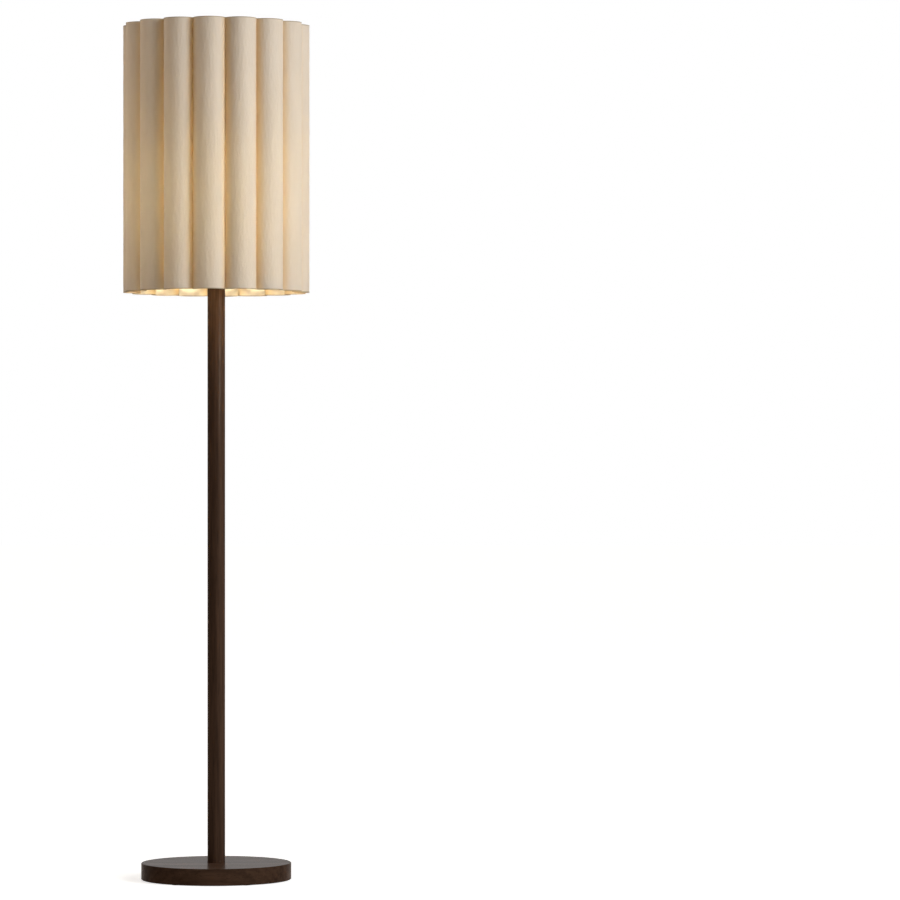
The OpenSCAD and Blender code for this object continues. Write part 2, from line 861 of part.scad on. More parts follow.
module bulb_insulator() {
    color("#1c1c1d")
        translate([0, 0, bulb_z0 + tip_h])
            cylinder(d1 = bulb_contact_d + bulb_contact_step, d2 = insulator_top_d, h = insulator_h);
}

module bulb_cap() {
    color("#b8b6b0")
        difference() {
            bevelled_disc(bulb_cap_d, bulb_cap_z0, bulb_cap_z1, 0.6);
            rod(bulb_cap_d - 2 * bulb_cap_t, bulb_cap_z0 + bulb_cap_t, bulb_cap_z1 + cut);
        }
}

// Radius of the bulb at height z: straight inside the cap, then half a cosine wave up to the widest
bulb_neck_d = bulb_cap_d - 2 * bulb_cap_t - 2 * fit_gap;
bulb_globe_z = bulb_top_z - bulb_d / 2;
bulb_skirt_z = bulb_cap_z1 - 3;
function bulb_wave(z) = (1 - cos(180 * (z - bulb_cap_z1) / (bulb_globe_z - bulb_cap_z1))) / 2;
function bulb_r(z) = bulb_neck_d / 2
    + (z < bulb_cap_z1 ? 0 : (bulb_d - bulb_neck_d) / 2 * bulb_wave(z));

// Heights at which the outlines of the bulb's body and of the dome's foot have a point
body_steps = 10;
dome_steps = 4;
body_line = concat(
    [bulb_skirt_z],
    [for (i = [0 : body_steps]) bulb_cap_z1 + (bulb_joint_z - bulb_cap_z1) * i / body_steps]
);
dome_line = [for (i = [0 : dome_steps - 1])
    bulb_joint_z + (bulb_globe_z - bulb_joint_z) * i / dome_steps];

// Lower half of the bulb, a hollow white body that carries the board
module bulb_body() {
    color("#e8e6e0")
        rotate_extrude()
            polygon(concat(
                [for (z = body_line) [bulb_r(z), z]],
                [for (i = [len(body_line) - 1 : -1 : 0]) [bulb_r(body_line[i]) - bulb_t, body_line[i]]]
            ));
}

// Upper half of the bulb: the last of the swell, and a half sphere
module bulb_dome() {
    globe_r = bulb_d / 2;
    inner_r = globe_r - bulb_t;
    step = 7.5;
    color("#fff3d8")
        rotate_extrude()
            polygon(concat(
                [for (z = dome_line) [bulb_r(z), z]],
                [for (a = [0 : step : 90]) [globe_r * cos(a), bulb_globe_z + globe_r * sin(a)]],
                [for (a = [90 : -step : 0]) [inner_r * cos(a), bulb_globe_z + inner_r * sin(a)]],
                [for (i = [dome_steps - 1 : -1 : 0]) [bulb_r(dome_line[i]) - bulb_t, dome_line[i]]]
            ));
}

// Round board with eight small light sources, held in the mouth of the bulb's body
module led_board() {
    board_z1 = bulb_joint_z;
    board_r = bulb_r(board_z1 - board_t) - bulb_t - fit_gap;
    led_w = 2.8;
    led_t = 0.7;
    color("#f2f0e6")
        union() {
            rod(2 * board_r, board_z1 - board_t, board_z1);
            around(8, board_r * 0.65, 0)
                translate([-led_w / 2, -led_w / 2, board_z1 - led_t])
                    cube([led_w, led_w, 2 * led_t]);
        }
}

// Upright board with the driver's parts, between the insulator and the board with the lights
module bulb_driver() {
    driver_w = bulb_neck_d - 2 * bulb_t - 2 * driver_air;
    driver_z0 = bulb_cap_z0 + bulb_cap_t;
    driver_z1 = bulb_joint_z - board_t;
    color("#2f5b3a")
        union() {
            translate([-driver_w / 2, -driver_t / 2, driver_z0])
                cube([driver_w, driver_t, driver_z1 - driver_z0]);
            translate([0, can_d / 2, driver_z0 + can_z])
                cylinder(d = can_d, h = can_h);
            translate([-coil_size.x / 2, -coil_size.y, driver_z0 + coil_z])
                cube(coil_size);
        }
}

// Wire loop: up one leg, out, along the tall side, over the crown and down the other way
module harp_wire() {
    half = [
        [leg_straight, leg_bend_r, leg_bend_a],
        [slant_l, leg_bend_r, -leg_bend_a],
        [side_z1 - side_z0, crown_r, -90]
    ];
    line = route([saddle_w / 2, leg_z0], 0, half);
    back = [for (i = [len(line) - 1 : -1 : 0]) [-line[i].x, line[i].y]];
    color("#c9a24a")
        wire_along(concat(line, back), harp_wire_d, 12);
}

// Shoulder pressed around the top of the wire, with the stud that the finial screws onto
module harp_stud() {
    color("#c9a24a")
        difference() {
            union() {
                rod(shoulder_d, shoulder_z - shoulder_t, shoulder_z);
                rod(stud_d, shoulder_z - shoulder_t, shoulder_z + stud_h);
            }
            translate([-shoulder_d, 0, harp_top_z])
                rotate([0, 90, 0])
                    cylinder(d = harp_wire_d + 2 * fit_gap, h = 2 * shoulder_d);
        }
}

// Sleeve that locks one leg of the harp onto its pin
module harp_sleeve(side) {
    color("#c9a24a")
        translate([side * saddle_w / 2, 0, 0])
            tube(sleeve_d, harp_wire_d + 2 * run_gap, sleeve_z0, sleeve_z0 + sleeve_l);
}

module left_sleeve() {
    harp_sleeve(-1);
}

module right_sleeve() {
    harp_sleeve(1);
}

// Turned knob with a ball on a waisted foot, and a blind threaded bore
module finial() {
    foot_d = stud_d + 2 * finial_foot_wall;
    waist_d = stud_d + 2 * finial_waist_wall;
    ball_z = finial_z0 + finial_h - finial_d / 2;
    color("#c9a24a")
        difference() {
            union() {
                bevelled_disc(foot_d, finial_z0, finial_z0 + finial_foot_t, finial_bevel);
                rod(waist_d, finial_z0, ball_z);
                translate([0, 0, ball_z])
                    sphere(d = finial_d);
            }
            rod(stud_d + 2 * run_gap, finial_z0 - cut, shoulder_z + stud_h + finial_bore_air);
        }
}

// Washer on the harp's shoulder, with arms that run out and turn up to the top ring
module spider() {
    arm_end_z = top_ring_z - ring_wire_d / 2 - weld_gap;
    color("#d8d4c8")
        difference() {
            union() {
                rod(spider_washer_d, shoulder_z, washer_z1);
                around(arms_n, 0, 90)
                    spider_arm(arm_end_z);
            }
            rod(spider_hole_d, shoulder_z - cut, washer_z1 + ring_wire_d);
        }
}

// One arm, along +X, welded onto the washer with its foot sunk a little
module spider_arm(arm_end_z) {
    arm_x0 = spider_washer_d / 2 - arm_lap;
    arm_axis_z = washer_z1 + ring_wire_d / 2 - arm_sink;
    bend_z = arm_axis_z + arm_bend_r;
    translate([arm_x0, 0, arm_axis_z])
        rotate([0, 90, 0])
            cylinder(d = ring_wire_d, h = ring_r - arm_bend_r - arm_x0);
    translate([ring_r, 0, bend_z])
        mirror([1, 0, 0])
            mirror([0, 0, 1])
                wire_bend(ring_wire_d, arm_bend_r, 90);
    translate([ring_r, 0, 0])
        rod(ring_wire_d, bend_z, arm_end_z);
}

// A ring of wire around the axis at height z
module wire_ring(z) {
    color("#d8d4c8")
        translate([0, 0, z])
            rotate_extrude()
                translate([ring_r, 0])
                    circle(d = ring_wire_d);
}

module top_ring() {
    wire_ring(top_ring_z);
}

module bottom_ring() {
    wire_ring(bottom_ring_z);
}

// One flute: the outer part of a round tube, cut off at the middle of the two valleys beside it
module flute(i) {
    far = 2 * crest_r;
    near = flute_x0;
    color("#dccfb8")
        rotate([0, 0, -90 + i * 2 * half_a])
            translate([0, 0, shade_z0])
                linear_extrude(shade_h)
                    intersection() {
                        difference() {
                            translate([arc_c, 0])
                                circle(r = arc_r);
                            translate([arc_c, 0])
                                circle(r = arc_in_r);
                        }
                        polygon([
                            [near, -near * tan(half_a)],
                            [far, -far * tan(half_a)],
                            [far, far * tan(half_a)],
                            [near, near * tan(half_a)]
                        ]);
                    }
}

base_disc();
felt_feet();
base_weight();
base_cover();
cover_screws();
cord_gland();
gland_nut();
terminal_block();
terminal_tubes();
terminal_screws();
block_screw();
internal_lead();
lamp_pipe();
bottom_washer();
bottom_nut();
pole();
pole_cap();
harp_saddle();
top_nut();
holder_cap();
holder_shell();
shell_liner();
holder_body();
screw_shell();
centre_contact();
switch_shaft();
switch_knob();
bulb_cap();
bulb_insulator();
bulb_contact();
bulb_body();
bulb_driver();
led_board();
bulb_dome();
harp_wire();
harp_stud();
left_sleeve();
right_sleeve();
finial();
spider();
top_ring();
bottom_ring();
for (i = [0 : flutes_n - 1])
    flute(i);
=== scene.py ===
# %% [markdown]
# # A wooden floor lamp with a fluted drum shade
# The lamp is a round walnut pole on a turned walnut base. A brass harp on the lamp holder carries a
# tall shade of sixteen half-round flutes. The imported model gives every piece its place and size, and
# this lesson adds what a drawing of sizes can't hold: creased sheet, grain, threads, felt, brass and
# light. All lengths are metres, +Z is up, and the front of the lamp looks along -Y.

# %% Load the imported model
import json
import math

import bmesh
import bpy
import numpy as np
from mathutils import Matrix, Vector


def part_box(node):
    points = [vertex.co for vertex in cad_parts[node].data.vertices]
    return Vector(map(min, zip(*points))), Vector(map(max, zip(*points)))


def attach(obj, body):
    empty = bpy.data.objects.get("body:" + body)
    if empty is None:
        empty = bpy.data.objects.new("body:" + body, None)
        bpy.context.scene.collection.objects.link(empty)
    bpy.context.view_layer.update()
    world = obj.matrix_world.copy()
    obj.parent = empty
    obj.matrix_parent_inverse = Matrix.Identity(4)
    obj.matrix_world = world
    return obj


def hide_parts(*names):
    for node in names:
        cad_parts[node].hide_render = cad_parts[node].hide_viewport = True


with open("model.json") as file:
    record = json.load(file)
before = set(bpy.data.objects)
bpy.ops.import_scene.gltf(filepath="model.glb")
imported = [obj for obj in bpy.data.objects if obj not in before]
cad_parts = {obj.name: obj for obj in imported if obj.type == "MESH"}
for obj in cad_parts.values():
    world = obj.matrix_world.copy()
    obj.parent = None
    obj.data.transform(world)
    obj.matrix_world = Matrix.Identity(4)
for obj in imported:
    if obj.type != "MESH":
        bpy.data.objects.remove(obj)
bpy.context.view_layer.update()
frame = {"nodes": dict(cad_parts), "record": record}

NODES = frame["nodes"]
SLOT_OF = {part["node"]: part["material_slot"] for part in frame["record"]["subparts"]}
MM = 0.001
TURN = 2 * math.pi

# %% [markdown]
# ## Camera
# The photograph was taken from far away with a long lens, level with the middle of the lamp: the pole's
# sides stay parallel and only a sliver of the base's top shows. The lamp stands at the left of the
# frame. The camera is turned a little to its right, which puts the lamp there without a sideways lens
# shift. Distance and eye height came from how flat the two rims and the base look in the photograph.

# %% Place the camera
EYE_HEIGHT = 0.750
CAMERA_DISTANCE = 7.97
CAMERA_AZIMUTH = math.radians(4.96)
LOOK_ASIDE = math.radians(3.151)
RISE_OF_VIEW = 0.0326
SENSOR_WIDTH_MM = 36.0
FOCAL_LENGTH_MM = 169.8
FARTHEST_SEEN = 200.0


def place_camera():
    """A level camera on a circle around the lamp, turned to the right of the lamp's axis."""
    lens = bpy.data.cameras.new("camera")
    lens.sensor_width = SENSOR_WIDTH_MM
    lens.lens = FOCAL_LENGTH_MM
    lens.clip_end = FARTHEST_SEEN
    lens.shift_y = RISE_OF_VIEW
    camera = bpy.data.objects.new("camera", lens)
    bpy.context.scene.collection.objects.link(camera)
    camera.location = (CAMERA_DISTANCE * math.sin(CAMERA_AZIMUTH),
                       -CAMERA_DISTANCE * math.cos(CAMERA_AZIMUTH), EYE_HEIGHT)
    camera.rotation_euler = (math.pi / 2, 0, CAMERA_AZIMUTH - LOOK_ASIDE)
    bpy.context.scene.camera = camera
    return camera


camera = place_camera()
print("camera at", [round(v, 3) for v in camera.location])

# %% [markdown]
# ## Meshes from arrays
# Every new piece here is a surface over a grid of points. numpy works all the points out at once, and
# one helper joins neighbours into faces. Points that fall on each other, such as those on an axis, are
# welded, edges left without a face are removed, the faces are turned outwards, and edges sharper than a
# given angle stay crisp.

# %% Grid helpers
WELD = 1e-6


def grid_faces(rows, cols, closed=False):
    """Faces of a grid counted row by row: corner (i, j) is joined to (i, j+1), (i+1, j+1) and (i+1, j).
    The last column is joined to the first, and in a closed grid the last row too."""
    row, col = np.meshgrid(np.arange(rows - (not closed)), np.arange(cols), indexing="ij")
    below, right = (row + 1) % rows, (col + 1) % cols
    row, below = row * cols, below * cols
    return np.stack([row + col, row + right, below + right, below + col], -1).reshape(-1, 4)


def mesh_piece(name, corners, faces, sharp=40.0):
    """A mesh of welded corners whose faces point outwards; edges over `sharp` degrees stay crisp."""
    mesh = bpy.data.meshes.new(name)
    mesh.from_pydata(np.asarray(corners, float).reshape(-1, 3).tolist(), [], faces.tolist())
    work = bmesh.new()
    work.from_mesh(mesh)
    bmesh.ops.remove_doubles(work, verts=work.verts, dist=WELD)
    bmesh.ops.delete(work, geom=[e for e in work.edges if not e.link_faces], context="EDGES")
    bmesh.ops.recalc_face_normals(work, faces=work.faces)
    work.to_mesh(mesh)
    work.free()
    mesh.shade_smooth()
    mesh.set_sharp_from_angle(angle=math.radians(sharp))
    piece = bpy.data.objects.new(name, mesh)
    bpy.context.scene.collection.objects.link(piece)
    return piece


print("grid helpers ready")

# %% [markdown]
# ## Turned outlines and bent wires
# Lathe work and tubes make most of the metal parts. A turned piece is an outline of radius and height
# carried round the axis. Its corners are eased first, because a perfectly sharp edge never catches
# light. A wire is a circle carried along a path made of straight lengths and round bends, as a bender
# makes it.

# %% Lathe and wire helpers
LATHE_SIDES = 96
ROUND = np.linspace(0, TURN, LATHE_SIDES, endpoint=False)
END_EASE = 0.2


def eased(outline, steps=5):
    """Rounds the corners of a closed outline of (radius, height, ease).
    Each corner P becomes the curve (1-s)^2 A + 2s(1-s) P + s^2 B between points A and B on its two sides,
    which lie `ease` away from it, or at most 0.45 of the side."""
    points = np.array(outline, float)
    corner, ease = points[:, :2], points[:, 2:3]

    def step_towards(neighbour):
        side = neighbour - corner
        length = np.maximum(np.linalg.norm(side, axis=1, keepdims=True), 1e-12)
        return corner + side / length * np.minimum(ease, 0.45 * length)

    start, end = step_towards(np.roll(corner, 1, 0)), step_towards(np.roll(corner, -1, 0))
    s = np.linspace(0, 1, steps)[None, :, None]
    curve = (1 - s) ** 2 * start[:, None] + 2 * s * (1 - s) * corner[:, None] + s ** 2 * end[:, None]
    return curve.reshape(-1, 2)


def densified(points, step):
    """Splits the sides of a closed outline evenly, so that no side is longer than `step`."""
    ahead = np.roll(points, -1, 0)
    counts = np.maximum(1, np.ceil(np.linalg.norm(ahead - points, axis=1) / step)).astype(int)
    start = np.repeat(np.arange(len(points)), counts)
    share = (np.arange(counts.sum()) - np.repeat(np.cumsum(counts) - counts, counts)) / counts[start]
    return points[start] + share[:, None] * (ahead - points)[start]


def turned(name, radius, height):
    """A closed turned piece: x = radius cos(angle), y = radius sin(angle), z = height. Both are columns,
    and the radius may also change with the angle."""
    points = np.stack([radius * np.cos(ROUND), radius * np.sin(ROUND), height + 0 * ROUND], -1)
    return mesh_piece(name, points, grid_faces(len(points), LATHE_SIDES, closed=True), sharp=60.0)


def threaded(name, outline, low, high, pitch, depth):
    """A turned piece with a rolled right-hand thread between two heights.
    The thread adds depth (1 - cos(2 pi height / pitch - angle)) / 2 to the radius, and fades in and out
    over one pitch."""
    outline = densified(eased(outline), pitch / 10)
    radius, height = outline[:, 0:1], outline[:, 1:2]
    fade = np.clip(np.minimum(height - low, high - height) / pitch, 0, 1) * (radius > depth)
    ridge = fade * depth * (1 - np.cos(TURN * height / pitch - ROUND)) / 2
    return turned(name, radius + ridge, height)


def bent_path(start, heading, moves, step=3.0):
    """Points (across, up) of a bent wire in a plane, at most `step` degrees of bend apart.
    The heading is in degrees from up towards across. Each move is (straight length, bend radius, turn):
    a turn of a degrees walks the arc q + sign(a) r (h(heading+90) - h(heading+90+t)), t from 0 to a."""
    def unit(degrees):
        t = np.radians(degrees)
        return np.stack([np.sin(t), np.cos(t)], -1)

    parts = [np.array([start], float)]
    for length, radius, turn in moves:
        here = parts[-1][-1] + length * unit(heading)
        part = [here[None]] if length else []
        if turn:
            t = np.linspace(0, turn, max(2, math.ceil(abs(turn) / step)) + 1)[1:]
            spoke = unit(heading + 90) - unit(heading + 90 + t)
            part.append(here + math.copysign(radius, turn) * spoke)
        parts.append(np.concatenate(part))
        heading += turn
    return np.concatenate(parts)


def path_length(path):
    """Length of a path of points, to the millimetre."""
    return round(float(np.linalg.norm(np.diff(path, axis=0), axis=1).sum()), 3)


def wire(name, path, radius, flat, sides):
    """A round wire: path + radius (cos(a) f + sin(a) t x f) for the path's heading t and a vector f
    square to it. Its ends close onto its axis over a small ease."""
    ahead = np.gradient(path, axis=0)
    heading = ahead / np.linalg.norm(ahead, axis=1, keepdims=True)
    ease = END_EASE * radius
    radii = np.concatenate([[0, radius - ease], np.full(len(path), radius), [radius - ease, 0]])
    path = np.concatenate([path[:1], path[:1], path[:1] + ease * heading[:1], path[1:-1],
                           path[-1:] - ease * heading[-1:], path[-1:], path[-1:]])
    heading = np.concatenate([heading[:1]] * 2 + [heading] + [heading[-1:]] * 2)
    flat = np.broadcast_to(np.asarray(flat, float), path.shape)
    angle = np.linspace(0, TURN, sides, endpoint=False)[None, :, None]
    ring = np.cos(angle) * flat[:, None] + np.sin(angle) * np.cross(heading, flat)[:, None]
    points = path[:, None] + radii[:, None, None] * ring
    return mesh_piece(name, points, grid_faces(len(points), sides))


print("lathe and wire helpers ready")

# %% [markdown]
# ## Shader helpers
# A material is a small graph of nodes. These helpers add nodes, set their options and link or fill
# each named input, so a whole finish reads like a recipe.

# %% Node helpers
def feed(tree, socket, value):
    """Links a value that is itself a socket, or sets a plain one."""
    if isinstance(value, bpy.types.NodeSocket):
        tree.links.new(value, socket)
    else:
        socket.default_value = value


def add(tree, kind, inputs=None, **options):
    """Adds a node to a tree; `inputs` maps a socket's name or number to a value or to another socket."""
    made = tree.nodes.new(kind)
    for key, value in options.items():
        setattr(made, key, value)
    for key, value in (inputs or {}).items():
        feed(tree, made.inputs[key], value)
    return made


def maths(tree, operation, a, b=0.0, clamp=False):
    """One step of arithmetic on two values."""
    return add(tree, "ShaderNodeMath", {0: a, 1: b}, operation=operation, use_clamp=clamp).outputs[0]


def blend_colours(tree, share, a, b, kind="MIX"):
    """Mixes colour b into colour a by a share from 0 to 1."""
    made = add(tree, "ShaderNodeMix", {0: share, 6: a, 7: b}, data_type="RGBA", blend_type=kind)
    return made.outputs[2]


def fitted(tree, value, low, high, out_low=0.0, out_high=1.0):
    """Maps a value from one range to another and clamps it there."""
    return add(tree, "ShaderNodeMapRange", {"Value": value, "From Min": low, "From Max": high,
                                            "To Min": out_low, "To Max": out_high}).outputs[0]


def speckle(tree, where, scale, detail=3.0, roughness=0.55, twist=0.0):
    """A cloud of noise between about 0.3 and 0.7, `scale` cells to the metre."""
    return add(tree, "ShaderNodeTexNoise", {"Vector": where, "Scale": scale, "Detail": detail,
                                            "Roughness": roughness, "Distortion": twist}).outputs[0]


def stretched(tree, where, factors):
    """Multiplies a position by three factors; a small factor draws a pattern out along that axis."""
    return add(tree, "ShaderNodeVectorMath", {0: where, 1: factors}, operation="MULTIPLY").outputs[0]


def distance(tree, where):
    """Length of a vector."""
    return add(tree, "ShaderNodeVectorMath", {0: where}, operation="LENGTH").outputs["Value"]


def height_of(tree, where):
    """Third coordinate of a position."""
    return add(tree, "ShaderNodeSeparateXYZ", {0: where}).outputs[2]


def bumped(tree, height, depth, strength):
    """A normal that is tilted by a height, `depth` metres deep."""
    inputs = {"Height": height, "Distance": depth, "Strength": strength}
    return add(tree, "ShaderNodeBump", inputs).outputs[0]


def empty_tree(owner, output):
    """Clears a material's or a world's node tree; returns it and its new output's input."""
    owner.use_nodes = True
    owner.node_tree.nodes.clear()
    return owner.node_tree, add(owner.node_tree, output).inputs["Surface"]


def new_material(name):
    """An empty material with a Principled BSDF; returns the material, its tree, the shader and the
    position on the object."""
    material = bpy.data.materials.new(name)
    tree, surface = empty_tree(material, "ShaderNodeOutputMaterial")
    shader = add(tree, "ShaderNodeBsdfPrincipled")
    tree.links.new(shader.outputs[0], surface)
    return material, tree, shader, add(tree, "ShaderNodeTexCoord").outputs["Object"]


def fill(tree, shader, **inputs):
    """Sets or links the shader's sockets, with underscores for the spaces in their names."""
    for key, value in inputs.items():
        feed(tree, shader.inputs[key.replace("_", " ")], value)


def new_group(name, inputs, outputs):
    """An empty node group; inputs and outputs map a name to Float, Vector or Color."""
    group = bpy.data.node_groups.new(name, "ShaderNodeTree")
    for sockets, way in ((inputs, "INPUT"), (outputs, "OUTPUT")):
        for socket, kind in sockets.items():
            group.interface.new_socket(name=socket, in_out=way, socket_type="NodeSocket" + kind)
    return group, add(group, "NodeGroupInput").outputs, add(group, "NodeGroupOutput").inputs


def use_group(tree, group, inputs):
    """Places a node group in a material and returns its outputs."""
    return add(tree, "ShaderNodeGroup", inputs, node_tree=group).outputs


print("shader helpers ready")

# %% [markdown]
# ## Walnut
# Base and pole are stained walnut with a satin lacquer. Real grain is a solid pattern: it runs through
# the wood, so the group reads the position in space and draws everything out along one axis. It layers
# broad bands of colour, fine fibres and short dark pores, and also gives a height for the bump.

# %% Grain group
GRAIN_DRAW, PORE_DRAW = 0.045, 0.02
BAND_CELLS, FIBRE_CELLS, FIGURE_CELLS, PORE_CELLS = 22.0, 230.0, 34.0, 900.0
BAND_SHARE, FIBRE_SHARE, FIGURE_SHARE, PORE_SHARE = 0.55, 0.33, 0.14, 0.55
PORE_COLOUR = (0.012, 0.007, 0.005, 1.0)


def make_grain_group():
    """Wood grain along the group's Z axis: bands + fibres + figure, darkened in the pores."""
    group, given, out = new_group(
        "walnut_grain",
        {"Position": "Vector", "Dark": "Color", "Light": "Color", "Pores": "Float"},
        {"Colour": "Color", "Height": "Float", "Roughness": "Float"})
    along = stretched(group, given["Position"], (1.0, 1.0, GRAIN_DRAW))
    bands = speckle(group, along, BAND_CELLS, detail=3.0, roughness=0.5, twist=0.8)
    fibres = speckle(group, along, FIBRE_CELLS, detail=5.0, roughness=0.62)
    figure = add(group, "ShaderNodeTexWave", {"Vector": along, "Scale": FIGURE_CELLS, "Distortion": 5.0,
                                              "Detail": 3.0, "Detail Scale": 1.6},
                 wave_type="BANDS", bands_direction="DIAGONAL").outputs[1]
    short = stretched(group, given["Position"], (1.0, 1.0, PORE_DRAW))
    pores = fitted(group, speckle(group, short, PORE_CELLS, detail=2.0, roughness=0.5), 0.57, 0.70)
    pores = maths(group, "MULTIPLY", pores, given["Pores"])
    tone = maths(group, "ADD", fitted(group, bands, 0.33, 0.67, 0.0, BAND_SHARE),
                 fitted(group, fibres, 0.3, 0.7, 0.0, FIBRE_SHARE))
    tone = maths(group, "ADD", tone, maths(group, "MULTIPLY", figure, FIGURE_SHARE), clamp=True)
    wood = blend_colours(group, tone, given["Dark"], given["Light"])
    wood = blend_colours(group, maths(group, "MULTIPLY", pores, PORE_SHARE), wood, PORE_COLOUR)
    group.links.new(wood, out["Colour"])
    height = maths(group, "SUBTRACT", maths(group, "MULTIPLY", fibres, 0.5), pores)
    group.links.new(height, out["Height"])
    group.links.new(fitted(group, tone, 0.0, 1.0, 0.38, 0.30), out["Roughness"])
    return group


walnut_grain = make_grain_group()
print("group", walnut_grain.name)

# %% [markdown]
# The pole's grain stands up along Z. The base was turned from a board that lies flat, so its grain runs
# from side to side, and its position is turned by a quarter before it goes into the same group. Much
# of a disc's rim is end grain, which drinks more stain, so the base is darker. The stained wood hardly
# shines by itself. A trace of lacquer gives the pole one narrow line of light, and more of it lies on
# the base's flat top, where it can be rubbed smooth.

# %% Walnut materials
WALNUT_DARK = (0.0255, 0.0130, 0.0080, 1.0)
WALNUT_LIGHT = (0.0960, 0.0520, 0.0315, 1.0)
GRAIN_DEPTH = 0.12 * MM
TOP_LACQUER = 0.100
LACQUER_ROUGHNESS = 0.07
LACQUER_STEP = 0.3 * MM
TOP_EASE = 0.2 * MM


def walnut(name, turn, polished_from, depth, gloss, lacquer):
    """Satin walnut whose grain runs along Z after the position is turned by `turn`. The stain's colours
    are multiplied by `depth`, `gloss` is the wood's own weak sheen, and `lacquer` is the lacquer's share
    below the height `polished_from`; above it there is more."""
    material, tree, shader, where = new_material(name)
    height = height_of(tree, where)
    where = add(tree, "ShaderNodeMapping", {"Vector": where, "Rotation": turn}).outputs[0]
    dark, light = ([depth * c for c in stain[:3]] + [1.0] for stain in (WALNUT_DARK, WALNUT_LIGHT))
    grain = use_group(tree, walnut_grain, {"Position": where, "Dark": dark, "Light": light, "Pores": 1.0})
    coat = fitted(tree, height, polished_from - LACQUER_STEP, polished_from, lacquer, TOP_LACQUER)
    fill(tree, shader, Base_Color=grain["Colour"], Roughness=grain["Roughness"], Specular_IOR_Level=gloss,
         Coat_Roughness=LACQUER_ROUGHNESS, Coat_Weight=coat,
         Normal=bumped(tree, grain["Height"], GRAIN_DEPTH, 0.6))
    return material


BASE_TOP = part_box("base_disc")[1].z
POLE_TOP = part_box("pole")[1].z
pole_wood = walnut("pole_walnut", (0.0, 0.0, 0.0), POLE_TOP, depth=1.0, gloss=0.007, lacquer=0.012)
base_wood = walnut("base_walnut", (0.0, math.pi / 2, 0.0), BASE_TOP - TOP_EASE,
                   depth=0.86, gloss=0.006, lacquer=0.0)
print("materials", pole_wood.name, base_wood.name)

# %% [markdown]
# ## Creased sheet of the shade
# The flutes are a laminated sheet with a fine, leathery crease that runs mostly upright. It is opaque
# to the eye but lets some of the bulb's light through, so the shader is a blend of a Principled surface
# and a Translucent one. Towards a valley the colour turns a deeper, darker gold: painted shade and
# painted glow in the valleys. There the sheet also lets more light through, and in the seam itself,
# where two sheets lie together, a little less, so all this follows the distance from the axis. At its
# top and bottom the sheet is cut, and it is darker in a narrow band along each cut end. The large
# creases are in the mesh; the material adds the finest ones.

# %% Sheet material
SHEET_CREAM = (0.738, 0.638, 0.534, 1.0)
# The next colour is the darker end of the sheet's random mottle, not a shade.
SHEET_MOTTLE_DARK = (0.692, 0.592, 0.488, 1.0)
# Colour of the painted shade and painted glow in the valleys.
VALLEY_PAINTED_SHADE_GLOW = (0.730, 0.530, 0.308, 1.0)
SHEET_EDGE = (0.300, 0.200, 0.110, 1.0)
SHEET_GLOW = (0.950, 0.872, 0.695, 1.0)
CREST_SHARE, VALLEY_SHARE, SEAM_FACTOR = 0.174, 0.286, 0.85
VALLEY_RADIUS = 153 * MM
VALLEY_REACH, SEAM_REACH = 14 * MM, 2.5 * MM
CUT_FACE, CUT_EDGE = 0.6 * MM, 1.8 * MM
CREASE_CELLS, MOTTLE_CELLS = 420.0, 26.0
CREASE_DRAW = 0.22
CREASE_LAYERS = ((1.0, 0.6), (2.3, 0.4))
FINE_CREASE_DEPTH = 0.7 * MM


def make_crease_group():
    """Fine creases drawn out along Z: the fold lines of a noise n, |2n - 1|, at two sizes. Each layer is
    (how many times finer, share of the height)."""
    group, given, out = new_group("fine_creases", {"Position": "Vector", "Size": "Float"},
                                  {"Height": "Float", "Mottle": "Float"})
    along = stretched(group, given["Position"], (1.0, 1.0, CREASE_DRAW))
    folds = []
    for finer, part in CREASE_LAYERS:
        cells = maths(group, "MULTIPLY", given["Size"], finer)
        noise = speckle(group, along, cells, detail=3.0, roughness=0.5, twist=0.6)
        fold = maths(group, "SUBTRACT", maths(group, "MULTIPLY", noise, 2.0), 1.0)
        folds.append(maths(group, "MULTIPLY", maths(group, "ABSOLUTE", fold), part))
    group.links.new(maths(group, "ADD", *folds), out["Height"])
    group.links.new(speckle(group, along, MOTTLE_CELLS, detail=4.0, roughness=0.6), out["Mottle"])
    return group


fine_creases = make_crease_group()


